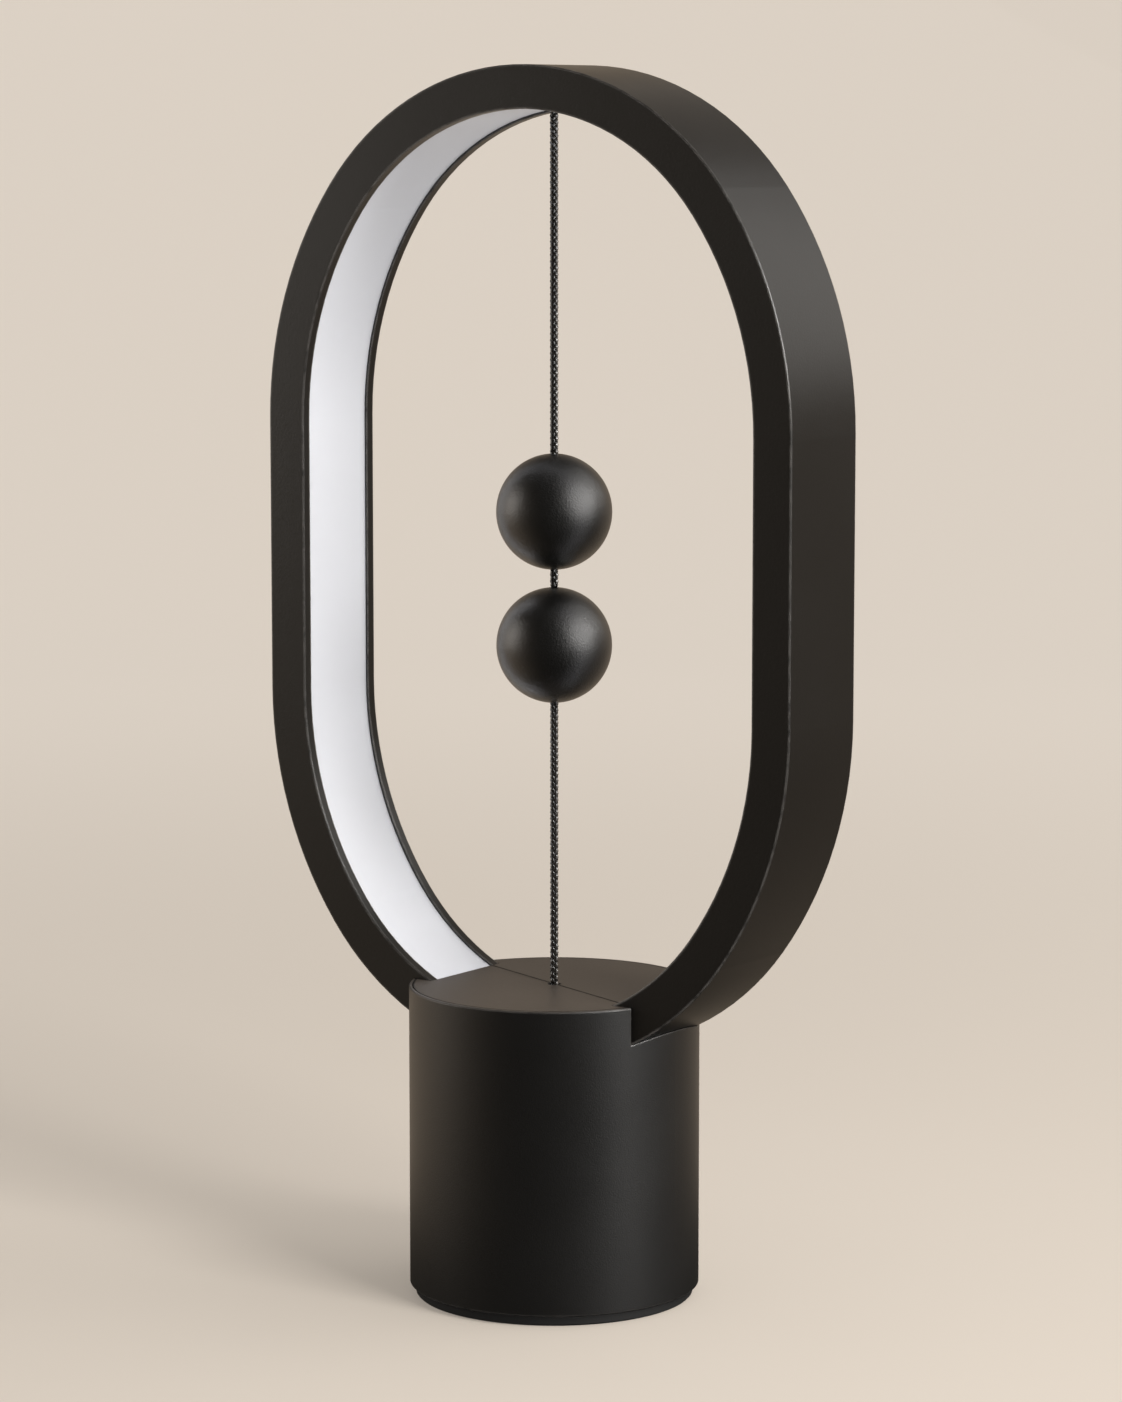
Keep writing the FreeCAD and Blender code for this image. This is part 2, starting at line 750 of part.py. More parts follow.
def make_counterweight():
    blank = cylinder("weight_blank", "weight_radius", "weight_height", z="weight_bottom")
    holes = tie_cylinders("weight_hole", "tie_screw_radius + screw_gap", f"weight_bottom - {OVER}",
                          f"weight_top + {OVER}")
    half = "(inlet_block_half + inlet_slack)"
    holes.append(box("inlet_recess", (f"-{half}", "inlet_block_back - 2 * inlet_slack",
                                      "inlet_height - inlet_block_half"),
                     (half, "cup_radius", f"weight_top + {OVER}")))
    keep(cut("weight_cut", blank, holes), "counterweight")


def make_power_inlet():
    """A round low-voltage socket that looks out of the back of the cup."""
    block = box("inlet_block", ("-inlet_block_half", "inlet_block_back", "inlet_height - inlet_block_half"),
                ("inlet_block_half", "inlet_block_front", "inlet_height + inlet_block_half"))
    barrel = cylinder("inlet_barrel", "inlet_barrel_radius", f"inlet_face - inlet_block_front + {OVER}",
                      y="inlet_face", z="inlet_height", turn=FORWARD)
    bore = cylinder("inlet_bore", "inlet_bore_radius", "inlet_bore_depth", y="inlet_face",
                    z="inlet_height", turn=FORWARD)
    seat = cylinder("inlet_pin_hole", "inlet_pin_radius", f"inlet_pin_root + {OVER}",
                    y=f"inlet_bore_end + {OVER}", z="inlet_height", turn=FORWARD)
    keep(cut("inlet_cut", joined("inlet_shell", [block, barrel]), [bore, seat]), "power_inlet")
    pin = cylinder("inlet_pin_body", "inlet_pin_radius",
                   "inlet_bore_depth - inlet_pin_setback + inlet_pin_root",
                   y="inlet_face - inlet_pin_setback", z="inlet_height", turn=FORWARD)
    keep(pin, "inlet_pin")


def board_cylinders(name, radius, start, end):
    return [cylinder(f"{name}_{i}", radius, f"({end}) - ({start})",
                     f"{sx} * board_screw_x", f"{sy} * board_screw_y", start)
            for i, (sx, sy) in enumerate(CORNERS)]


def make_driver_board():
    posts = board_cylinders("standoff", "standoff_radius", "weight_top", "board_bottom")
    bores = board_cylinders("standoff_bore", "board_screw_radius + thread_gap", f"weight_top - {OVER}",
                            f"board_bottom + {OVER}")
    sleeves = [cut(f"standoff_sleeve_{i}", post, [bore]) for i, (post, bore) in enumerate(zip(posts, bores))]
    keep(group("standoff_set", sleeves), "board_standoffs")
    plate = box("board_plate", ("-board_half_x", "-board_half_y", "board_bottom"),
                ("board_half_x", "board_half_y", "board_top"))
    holes = board_cylinders("board_hole", "board_screw_radius + screw_gap", f"board_bottom - {OVER}",
                            f"board_top + {OVER}")
    keep(cut("board_cut", plate, holes), "driver_board")
    shanks = board_cylinders("board_shank", "board_screw_radius", "weight_top + board_screw_end",
                             "board_top + board_head_height")
    heads = board_cylinders("board_head", "board_head_radius", "board_top", "board_top + board_head_height")
    screws = [joined(f"board_screw_{i}", list(pair)) for i, pair in enumerate(zip(shanks, heads))]
    keep(group("board_screw_set", screws), "board_screws")


TERMINALS = {
    "back": (0, "(board_half_y - back_terminal_edge)"),
    "left": ("-terminal_x", "terminal_y"),
    "right": ("terminal_x", "terminal_y"),
    "front": ("front_terminal_x", "-terminal_y"),
}


def make_board_pieces():
    blocks = [box(f"terminal_{name}",
                  (f"{x} - terminal_long / 2", f"{y} - terminal_wide / 2", "board_top"),
                  (f"{x} + terminal_long / 2", f"{y} + terminal_wide / 2", "terminal_top"))
              for name, (x, y) in TERMINALS.items()]
    keep(group("terminal_set", blocks), "terminal_blocks")
    keep(cylinder("capacitor_can", "capacitor_radius", "capacitor_height", "capacitor_x", "capacitor_y",
                  "board_top"), "filter_capacitor")
    keep(box("choke_body", ("-choke_side / 2", "choke_y - choke_side / 2", "board_top"),
             ("choke_side / 2", "choke_y + choke_side / 2", "board_top + choke_height")), "power_choke")
    keep(box("driver_chip_body", ("chip_pad_x", "chip_pad_y - driver_chip_side", "board_top"),
             ("chip_pad_x + driver_chip_side", "chip_pad_y", "board_top + driver_chip_height")),
         "driver_chip")


LEAD_HOLES = (("-terminal_x", "lead_hole_y"), ("terminal_x", "lead_hole_y"),
              ("front_terminal_x", "-lead_hole_y"))


def make_ring_cradle():
    """The moulded block that the ring's two ends rest on; the pull switch stands in its well."""
    body = new_body("cradle_body")
    sketch = new_sketch(body, "cradle_disc", "XY_Plane", "deck_bottom")
    draw_circle(sketch, "cup_inside - cradle_side_gap")
    pad(body, sketch, "cradle_height")
    seat = new_sketch(body, "cradle_seat", "XZ_Plane")
    draw_oval(seat, "-cradle_ring_gap")
    pocket(body, seat, "ring_depth + 2 * cradle_ring_gap")
    half_deep = "(ring_depth / 2 + cradle_ring_gap)"
    well = box("cradle_well", ("-well_half", f"-{half_deep}", "deck_top"),
               ("well_half", half_deep, f"cradle_top + {OVER}"))
    legs = tie_cylinders("cradle_leg", "cradle_leg_radius", "weight_top", f"deck_bottom + {OVER}")
    tools = [well]
    tools += tie_cylinders("cradle_thread", "tie_screw_radius + thread_gap", f"weight_top - {OVER}",
                           f"weight_top + tie_grip + {OVER}")
    tools += ring_screw_tools("cradle_ring_thread", "ring_screw_radius + thread_gap", f"-{OVER}",
                              f"ring_screw_length + 2 * {OVER}")
    tools += [cylinder(f"cradle_lead_hole_{i}", "lead_hole_radius", f"cradle_deck + 2 * {OVER}", x, y,
                       f"deck_bottom - {OVER}")
              for i, (x, y) in enumerate(LEAD_HOLES)]
    tools += frame_screw_cylinders("frame_thread", "frame_screw_radius + thread_gap",
                                   "foot_top - frame_screw_length - screw_gap", f"foot_top + {OVER}")
    tools += [cylinder(f"peg_socket_{i}", "peg_radius + thread_gap", "peg_length",
                       f"{sx} * peg_x", f"{sy} * peg_y", "cover_bottom - peg_length - peg_end_gap")
              for i, (sx, sy) in enumerate(CORNERS)]
    keep(cut("cradle_cut", joined("cradle_blank", [body] + legs), tools), "ring_cradle")


def make_top_cover(name, side):
    """Half of the lid. It stops at the seam and at the ring, and two pegs press into the cradle."""
    body = new_body(f"{name}_body")
    disc = new_sketch(body, f"{name}_disc", "XY_Plane", "cover_bottom")
    draw_circle(disc, "cup_radius - rim_lip - cover_gap")
    draw_circle(disc, "cord_hole_radius")
    pad(body, disc, "cover_thick")
    slot = new_sketch(body, f"{name}_ring_slot", "XZ_Plane")
    draw_polygon(slot, [(f"-{FAR}", 0), (FAR, 0), (FAR, "ring_z"), (f"-{FAR}", "ring_z")])
    draw_low_oval(slot, "(ring_band + notch_gap)")
    pocket(body, slot, "ring_depth + 2 * notch_gap")
    seam = new_sketch(body, f"{name}_seam", "XY_Plane", f"base_top + {OVER}")
    half = f"((cover_slot_x + {OVER}) / cos(seam_angle))"
    near = f"({side} * seam_gap / 2)"
    left = seam_point(f"-{half}", near)
    right = seam_point(half, near)
    far = f"{-side} * {FAR}"
    draw_polygon(seam, [right, (right[0], 0), (FAR, 0), (FAR, far), (f"-{FAR}", far), (f"-{FAR}", 0),
                        (left[0], 0), left])
    pocket(body, seam, f"cover_thick + 2 * {OVER}", symmetric=False)
    pegs = [cylinder(f"{name}_peg_{sx}".replace("-", "m"), "peg_radius", f"peg_length + {OVER}",
                     f"{sx} * peg_x", f"{side} * peg_y", "cover_bottom - peg_length")
            for sx in (-1, 1)]
    keep(joined(f"{name}_pegged", [body] + pegs), name)


def seam_point(along, across):
    """A point of the covers, measured along the seam and square to it."""
    return (f"{along} * cos(seam_angle) + {across} * sin(seam_angle)",
            f"-{along} * sin(seam_angle) + {across} * cos(seam_angle)")


def draw_low_oval(sketch, inset):
    """The oval below its straight sides, closed by a straight line at the top."""
    corners = oval_corners(inset)
    across, up, _ = corners[0]
    draw_outline(sketch, [corners[5], corners[6], corners[7], (across, up, None)])


# ---- pull switch ----


def make_switch_frame():
    """The block that guides the plunger, on a foot that also carries the microswitch."""
    foot = box("frame_foot_plate", ("-frame_half", "-frame_half", "deck_top"),
               ("well_half - frame_end_gap", "frame_half", "foot_top"))
    tower = box("frame_tower", ("-frame_half", "-frame_half", "deck_top"),
                ("frame_half", "frame_half", "roof_top"))
    bore = cylinder("frame_bore", "plunger_radius + slide_gap", "roof_bottom - foot_top", z="foot_top")
    hole = cylinder("frame_bush_hole", "bush_radius", f"frame_roof + 2 * {OVER}", z=f"roof_bottom - {OVER}")
    slot_half = "(tab_half_width + tab_gap)"
    slot = box("frame_slot", (0, f"-{slot_half}", "plunger_bottom - plunger_travel - tab_end_gap"),
               (f"frame_half + {OVER}", slot_half, "plunger_bottom + tab_thick + tab_end_gap"))
    threads = frame_screw_cylinders("frame_screw_hole", "frame_screw_radius + screw_gap",
                                    f"deck_top - {OVER}", f"foot_top + {OVER}")
    keep(cut("frame_cut", joined("frame_blank", [foot, tower]), [bore, hole, slot] + threads), "switch_frame")
    shanks = frame_screw_cylinders("frame_shank", "frame_screw_radius", "foot_top - frame_screw_length",
                                   "foot_top + frame_head_height")
    heads = frame_screw_cylinders("frame_head", "frame_head_radius", "foot_top",
                                  "foot_top + frame_head_height")
    screws = [joined(f"frame_screw_{i}", list(pair)) for i, pair in enumerate(zip(shanks, heads))]
    keep(group("frame_screw_set", screws), "switch_screws")


def frame_screw_cylinders(name, radius, start, end):
    return [cylinder(f"{name}_{i}".replace("-", "m"), radius, f"({end}) - ({start})",
                     "frame_screw_x", f"{i} * frame_screw_y", start) for i in (-1, 1)]


def make_cord_bush():
    """The flanged bush in the frame's roof that the lower cord runs through."""
    keep(turned("cord_bush_body", [
        ("cord_radius + cord_gap", "roof_bottom"), ("bush_radius", "roof_bottom"),
        ("bush_radius", "roof_top"), ("bush_flange_radius", "roof_top"),
        ("bush_flange_radius", "roof_top + bush_flange"),
        ("cord_radius + bush_flare", "roof_top + bush_flange"),
        ("cord_radius + cord_gap", "roof_top"),
    ]), "cord_bush")


def make_plunger():
    """The part that the cord pulls up; its tab works the microswitch's lever."""
    rod = cylinder("plunger_rod", "plunger_radius", "plunger_height", z="plunger_bottom")
    tab = box("plunger_tab", (0, "-tab_half_width", "plunger_bottom"),
              ("tab_reach", "tab_half_width", "plunger_bottom + tab_thick"))
    pocket_tool = cylinder("ferrule_pocket", "ferrule_radius + ferrule_gap", "ferrule_height",
                           z="plunger_bottom")
    passage = cylinder("plunger_passage", "cord_radius + cord_gap", f"plunger_height + 2 * {OVER}",
                       z=f"plunger_bottom - {OVER}")
    keep(cut("plunger_cut", joined("plunger_blank", [rod, tab]), [pocket_tool, passage]), "pull_plunger")
    sleeve = cylinder("ferrule_blank", "ferrule_radius", "ferrule_height", z="plunger_bottom")
    hollow = cylinder("ferrule_bore", "cord_radius + cord_gap / 2", "ferrule_height",
                      z="cord_low_end - cord_gap")
    keep(cut("ferrule_cut", sleeve, [hollow]), "cord_ferrule")


def make_return_spring():
    """The extension spring that draws the plunger down when the cord goes slack."""
    height = size("plunger_bottom - foot_top - spring_wire - 2 * slide_gap")
    coil = Part.makeLongHelix(height / size("spring_turns"), height, size("spring_radius"))
    coil.translate(FreeCAD.Vector(0, 0, size("foot_top + spring_wire / 2 + slide_gap")))
    start = coil.Vertexes[0].Point
    section = Part.Wire(Part.makeCircle(size("spring_wire / 2"), start, FreeCAD.Vector(0, 1, 0)))
    thing = doc.addObject("Part::Feature", "spring_coil")
    thing.Shape = Part.Wire(coil.Edges).makePipeShell([section], True, True)
    keep(thing, "return_spring")


def make_microswitch():
    """A sub-miniature switch: its body with two ears, a hinged lever and the button under it."""
    shell = box("switch_shell", ("switch_start", "-switch_half_width", "foot_top"),
                ("switch_end", "switch_half_width", "switch_top"))
    ears = [box(f"switch_ear_{i}", ("switch_end - ear_length", low, f"switch_top - {OVER}"),
                ("switch_end", high, "switch_top + ear_height"))
            for i, (low, high) in enumerate((("-switch_half_width", "-switch_half_width + ear_thick"),
                                             ("switch_half_width - ear_thick", "switch_half_width")))]
    pin_hole = cylinder("ear_hole", "lever_pin_radius + slide_gap", f"2 * (switch_half_width + {OVER})",
                        "lever_pin_x", f"switch_half_width + {OVER}", "lever_pin_z", FORWARD)
    button_reach = "(button_depth + button_travel + screw_gap)"
    button_hole = cylinder("button_hole", "button_radius + slide_gap", f"{button_reach} + {OVER}",
                           "button_x", 0, f"switch_top - {button_reach}")
    keep(cut("switch_cut", joined("switch_blank", [shell] + ears), [pin_hole, button_hole]), "microswitch")
    keep(cylinder("button_body", "button_radius", "button_proud + button_depth", "button_x", 0,
                  "switch_top - button_depth"), "switch_button")
    blade_body = new_body("lever_blade")
    outline = new_sketch(blade_body, "lever_side", "XZ_Plane")
    draw_polygon(outline, [
        ("lever_pin_x", "lever_pin_z"), ("lever_pin_x - lever_length", "lever_pin_z + lever_rise"),
        ("lever_pin_x - lever_length", "lever_pin_z + lever_rise + lever_thick"),
        ("lever_pin_x", "lever_pin_z + lever_thick"),
    ])
    blade_half = "(switch_half_width - ear_thick - lever_side_gap)"
    pad(blade_body, outline, f"2 * {blade_half}", symmetric=True)
    pin = cylinder("lever_pin", "lever_pin_radius", "2 * switch_half_width",
                   "lever_pin_x", "switch_half_width", "lever_pin_z", FORWARD)
    hub = cylinder("lever_hub", "lever_pin_radius + lever_hub_wall", f"2 * {blade_half}",
                   "lever_pin_x", blade_half, "lever_pin_z", FORWARD)
    keep(joined("lever_joined", [blade_body, pin, hub]), "switch_lever")


# ---- balls, cords and swivel ----


def make_ball(name, middle, way, blind_first):
    """A ball of two glued halves; way is the side that its magnet lies on, 1 above and -1 below."""
    for half, low, high, up in (("top", 0, 90, 1), ("bottom", -90, 0, -1)):
        blank = sphere(f"{name}_{half}_blank", "ball_radius", middle, low, high)
        depth = "ball_pocket" if up == way else "ball_blind_pocket"
        start = middle if up > 0 else f"{middle} - {depth}"
        tools = [cylinder(f"{name}_{half}_pocket", "magnet_radius + thread_gap", depth, z=start)]
        if up == way and blind_first:
            tools.append(cylinder(f"{name}_{half}_dimple", "cord_radius + ball_cord_gap", "ball_radius",
                                  z=f"{middle} + ball_radius - ball_mouth"))
        else:
            end = middle if up > 0 else f"{middle} - ball_radius - {OVER}"
            tools.append(cylinder(f"{name}_{half}_bore", "cord_radius + ball_cord_gap",
                                  f"ball_radius + {OVER}", z=end))
        keep(cut(f"{name}_{half}_cut", blank, tools), f"{name}_{half}")


def make_magnet(name, start):
    disc = cylinder(f"{name}_disc", "magnet_radius", "magnet_thick", z=start)
    bore = cylinder(f"{name}_bore", "magnet_bore", f"magnet_thick + 2 * {OVER}", z=f"{start} - {OVER}")
    keep(cut(f"{name}_cut", disc, [bore]), name)


def make_crimp(name, start, bore_radius):
    sleeve = cylinder(f"{name}_sleeve", "crimp_radius", "crimp_length", z=start)
    hollow = cylinder(f"{name}_hollow", bore_radius, f"crimp_length + 2 * {OVER}", z=f"{start} - {OVER}")
    keep(cut(f"{name}_cut", sleeve, [hollow]), name)


def make_upper_pendulum():
    make_ball("upper_ball", "upper_ball_z", -1, blind_first=False)
    make_magnet("upper_magnet", "upper_magnet_start")
    make_crimp("upper_crimp", "upper_crimp_start", "cord_radius")
    cord = cylinder("upper_cord_rod", "cord_radius", "pivot_z - tail_end", z="tail_end")
    keep(cut("upper_cord_cut", cord, [sphere("bead_seat", "socket_radius", "pivot_z")]), "upper_cord")


def make_lower_ball():
    make_ball("lower_ball", "lower_ball_z", 1, blind_first=True)
    make_magnet("lower_magnet", "lower_magnet_start")
    make_crimp("lower_crimp", "lower_crimp_start", "cord_radius + cord_gap / 2")
    keep(cylinder("lower_cord_rod", "cord_radius", "lower_cord_top - cord_low_end", z="cord_low_end"),
         "lower_cord")


def anchor_screw_cylinders(name, radius, start, end):
    return [cylinder(f"{name}_{i}".replace("-", "m"), radius, f"({end}) - ({start})",
                     y=f"{i} * anchor_screw_y", z=start) for i in (-1, 1)]


def make_swivel():
    """The anchor in the top of the channel, the bead that turns in it and the bush round the cord."""
    keep(sphere("bead_ball", "bead_radius", "pivot_z"), "stopper_bead")
    blank = doc.addObject("Part::Common", "anchor_blank")
    blank.Base = band("anchor_band", "ring_web", "anchor_bottom", "2 * anchor_half_y")
    blank.Tool = box("anchor_limits", ("-anchor_half_x", "-ring_depth", "ring_z"),
                     ("anchor_half_x", "ring_depth", "total_height"))
    tools = [sphere("anchor_socket", "socket_radius", "pivot_z")]
    tools += anchor_screw_cylinders("anchor_hole", "anchor_screw_radius + screw_gap",
                                    f"anchor_lower_z - {OVER}", f"total_height - ring_web + {OVER}")
    tools += anchor_screw_cylinders("anchor_seat", "anchor_head_radius + screw_gap",
                                    f"anchor_lower_z - {OVER}", "anchor_head_top")
    keep(cut("anchor_cut", blank, tools), "top_anchor")
    head_start = "anchor_head_top - anchor_head_height"
    shanks = anchor_screw_cylinders("anchor_shank", "anchor_screw_radius", head_start,
                                    "total_height - ring_web + anchor_thread")
    heads = anchor_screw_cylinders("anchor_head", "anchor_head_radius", head_start, "anchor_head_top")
    screws = [joined(f"anchor_screw_{i}", list(pair)) for i, pair in enumerate(zip(shanks, heads))]
    keep(group("anchor_screw_set", screws), "anchor_screws")
    keep(turned("top_bush_body", [
        ("bush_throat", "anchor_lower_z - bush_top_gap"), ("bush_outer", "anchor_lower_z - bush_top_gap"),
        ("bush_outer", "bush_lip_top"), ("bush_lip_radius", "bush_lip_top"),
        ("bush_lip_radius", "total_height - ring_band"), ("bush_mouth", "total_height - ring_band"),
    ]), "top_bush")


# ---- internal leads ----


def lead_line(points):
    """Straight runs joined by tangent arcs, each as large as its shorter run allows."""
    spots = [FreeCAD.Vector(*(size(text) for text in point)) for point in points]
    edges = []
    here = spots[0]
    for before, corner, after in zip(spots, spots[1:], spots[2:]):
        back = before - corner
        ahead = after - corner
        turn = math.pi - back.getAngle(ahead)
        setback = 0.45 * min(back.Length, ahead.Length)
        back.normalize()
        ahead.normalize()
        inner = back + ahead
        inner.normalize()
        radius = setback / math.tan(turn / 2)
        start = corner + back * setback
        end = corner + ahead * setback
        middle = corner + inner * (radius / math.cos(turn / 2) - radius)
        edges += [Part.makeLine(here, start), Part.Arc(start, middle, end).toShape()]
        here = end
    edges.append(Part.makeLine(here, spots[-1]))
    return Part.Wire(edges)


def make_lead(name, points):
    line = lead_line(points)
    first = line.Edges[0]
    start = line.OrderedVertexes[0].Point
    section = Part.Wire(Part.makeCircle(size("lead_radius"), start, first.tangentAt(first.FirstParameter)))
    thing = doc.addObject("Part::Feature", f"{name}_tube")
    thing.Shape = line.makePipeShell([section], True, False)
    wanted = line.Length * math.pi * size("lead_radius") ** 2
    print(f"{name}: {line.Length:.1f} mm, volume {thing.Shape.Volume / wanted:.4f} of section times length")
    keep(thing, name)


def make_leads():
    """The short leads between the inlet, the lights, the microswitch and the board's terminals."""
    _, back_y = TERMINALS["back"]
    make_lead("inlet_lead", [
        (0, "inlet_block_back + 4", "inlet_height + inlet_block_half + lead_gap"),
        (0, "inlet_block_back + 3.4", "(inlet_height + inlet_block_half + board_top) / 2"),
        (0, "inlet_block_back + 0.4", "board_top + 0.4"),
        (0, f"{back_y} + terminal_wide / 2 + lead_gap", "board_top + terminal_tall / 2"),
    ])
    reach = "(crown_radius - strip_face)"
    end_x = "(ring_end_x + strip_end_gap + 2)"
    end_z = f"(low_crown_z - sqrt({reach}^2 - {end_x}^2))"
    for name, side in SIDES:
        x, y = TERMINALS[name]
        make_lead(f"led_lead_{name}", [
            (f"{side} * {end_x}", 0, f"{end_z} + lead_gap"),
            (f"{side} * ({end_x} - 1.4)", 0.4, f"{end_z} + 4.2"),
            (f"{side} * (ring_end_x - 3)", 4, "roof_bottom - 1.5"),
            (f"{side} * (terminal_x + 1)", "terminal_y - 3.4", "roof_bottom - 9"),
            (f"{side} * (terminal_x + 0.2)", "terminal_y - 1.2", "deck_top + 6"),
            (f"{side} * (terminal_x - 0.2)", "terminal_y - 0.7", "deck_bottom + 1"),
            (x, y, "terminal_top + lead_gap"),
        ])
    make_lead("switch_lead", [
        ("front_terminal_x", "-switch_half_width - lead_gap", "foot_top + 3.4"),
        ("front_terminal_x + 0.1", "5 - terminal_y", "foot_top + 2.8"),
        ("front_terminal_x", "1.2 - terminal_y", "deck_top - 1.5"),
        ("front_terminal_x - 0.1", "0.6 - terminal_y", "deck_bottom - 1"),
        (*TERMINALS["front"], "terminal_top + lead_gap"),
    ])


make_ring_channel()
make_ring_screws()
make_diffuser()
make_led_strips()
make_led_chips()
make_foot_pad()
make_base_cup()
make_tie_screws()
make_counterweight()
make_power_inlet()
make_driver_board()
make_board_pieces()
make_ring_cradle()
make_top_cover("top_cover_front", -1)
make_top_cover("top_cover_rear", 1)
make_switch_frame()
make_cord_bush()
make_plunger()
make_return_spring()
make_microswitch()
make_upper_pendulum()
make_lower_ball()
make_swivel()
make_leads()
doc.recompute()

failed = [thing.Name for thing in doc.Objects if {"Invalid", "Error"} & set(thing.State)]
bad_shapes = [thing.Label for thing in nodes if thing.Shape.isNull() or not thing.Shape.isValid()]
if failed or bad_shapes:
    raise RuntimeError(f"failed features: {failed}; bad shapes: {bad_shapes}")

os.makedirs("parts", exist_ok=True)
for thing in nodes:
    thing.Shape.exportStep(f"parts/{thing.Label}.step")
    print(f"{thing.Label}: {len(thing.Shape.Solids)} solids, {thing.Shape.Volume:.2f} mm3")
print(f"{len(nodes)} nodes")
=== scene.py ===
# %% [markdown]
# # A balance lamp with two magnetic balls
#
# The lamp is an oval ring that stands in a round base. Light shines inwards through an opal strip.
# A braided cord hangs from the top of the ring with one ball on it, and a second cord rises out of
# the base to the other ball. Magnets draw the balls together, which pulls the lower cord up and
# switches the light.
#
# The solid pieces come from a packed mechanical model. This lesson loads them, gives each one a
# finish that is made of shader nodes, and replaces the two plain cords by real braids.

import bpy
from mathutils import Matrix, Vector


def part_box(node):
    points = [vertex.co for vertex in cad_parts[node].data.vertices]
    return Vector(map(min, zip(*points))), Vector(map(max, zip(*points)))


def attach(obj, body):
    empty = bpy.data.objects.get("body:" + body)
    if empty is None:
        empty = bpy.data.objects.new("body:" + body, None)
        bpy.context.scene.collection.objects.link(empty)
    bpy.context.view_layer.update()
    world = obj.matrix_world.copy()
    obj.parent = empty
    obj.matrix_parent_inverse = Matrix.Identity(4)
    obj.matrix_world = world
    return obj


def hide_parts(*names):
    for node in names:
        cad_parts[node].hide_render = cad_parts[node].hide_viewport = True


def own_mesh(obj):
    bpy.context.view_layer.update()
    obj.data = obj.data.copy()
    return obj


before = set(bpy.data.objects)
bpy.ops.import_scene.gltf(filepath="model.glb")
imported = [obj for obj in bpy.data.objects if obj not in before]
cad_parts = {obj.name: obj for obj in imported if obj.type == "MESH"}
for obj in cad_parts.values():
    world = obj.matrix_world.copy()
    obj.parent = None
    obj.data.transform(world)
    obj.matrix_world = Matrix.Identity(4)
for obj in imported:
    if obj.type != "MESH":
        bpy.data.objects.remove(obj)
print("pieces in the model:", len(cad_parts))

# %% [markdown]
# ## Modules and an updated scene
#
# The modules that the rest uses are loaded, and the scene is brought up to date after the import.

# %% Modules and an updated scene
import math

import bpy
from mathutils import Vector

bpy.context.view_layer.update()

# %% [markdown]
# ## Putting things in the scene
#
# In Blender a mesh, a curve, a camera or a lamp is only data until an object carries it into a
# collection. The same two lines are needed for each, so they become a helper.

# %% Object helper
UP = Vector((0, 0, 1))


def put_in_scene(name, data):
    """A new object in the scene that carries a mesh, a curve, a camera or a lamp."""
    thing = bpy.data.objects.new(name, data)
    bpy.context.scene.collection.objects.link(thing)
    return thing


# %% [markdown]
# ## Camera
#
# A long lens from a little above gives a calm product view with nearly parallel edges. A short lens
# from nearby would swell the base and pinch the crown. The camera stands to the right of the lamp's
# front, so that the ring shows its front face, its outer face on the right and the opal strip on
# the left. Its numbers were fitted to the places of the ring, the base and the balls in the view.

# %% Camera
AZIMUTH = math.radians(35.136)
TILT = math.radians(-7.342)
CAMERA_DISTANCE = 1.433859
CAMERA_HEIGHT = 0.380456
SIDE_STEP = 0.002192
SENSOR_HEIGHT = 36        # in millimetres, as is the focal length
FOCAL_LENGTH = 114.48
NEAREST, FARTHEST = 0.05, 30

to_lamp = Vector((-math.sin(AZIMUTH), math.cos(AZIMUTH), 0))
to_right = Vector((math.cos(AZIMUTH), math.sin(AZIMUTH), 0))
look = to_lamp * math.cos(TILT) + UP * math.sin(TILT)

camera = put_in_scene("camera", bpy.data.cameras.new("camera"))
camera.location = -to_lamp * CAMERA_DISTANCE + to_right * SIDE_STEP + UP * CAMERA_HEIGHT
camera.rotation_euler = look.to_track_quat("-Z", "Y").to_euler()
camera.data.sensor_fit = "VERTICAL"
camera.data.sensor_height = SENSOR_HEIGHT
camera.data.lens = FOCAL_LENGTH
camera.data.clip_start = NEAREST
camera.data.clip_end = FARTHEST
bpy.context.scene.camera = camera
print(f"camera: {FOCAL_LENGTH:.0f} mm lens, {CAMERA_DISTANCE:.2f} m away")

# %% [markdown]
# ## Cords
#
# Both cords are round braids of four shiny black strands, 2.8 mm across, with crests that stand a
# tenth of a millimetre proud. A braid could be faked with a bump on a plain tube, but its outline
# is scalloped and its strands catch the light one by one, so real strands look better even from far
# away.
#
# ### The line of a cord
#
# A cord has no corners, so its line is a smooth NURBS curve that is drawn by the few points of its
# route. Blender turns the curve into a row of points, which the braid then follows.

# %% Line of a cord
POINTS_PER_PIECE = 32     # points that Blender makes for each piece of a curve


def route_line(name, points):
    """The points of a smooth curve along the route, read from the curve without a bevel."""
    data = bpy.data.curves.new(name, "CURVE")
    data.dimensions = "3D"
    data.resolution_u = POINTS_PER_PIECE
    spline = data.splines.new("NURBS")
    spline.points.add(len(points) - 1)
    for spot, place in zip(spline.points, points):
        spot.co = (*place, 1)
    spline.order_u = 3
    spline.use_endpoint_u = True
    carrier = put_in_scene(name, data)
    bpy.context.view_layer.update()
    mesh = bpy.data.meshes.new_from_object(carrier)
    line = [vertex.co.copy() for vertex in mesh.vertices]
    bpy.data.objects.remove(carrier)
    return line


# %% [markdown]
# ### Even steps
#
# The points of a curve lie close together in some places and far apart in others. A braid keeps one
# rhythm from end to end, so it needs points at equal distances along the line.

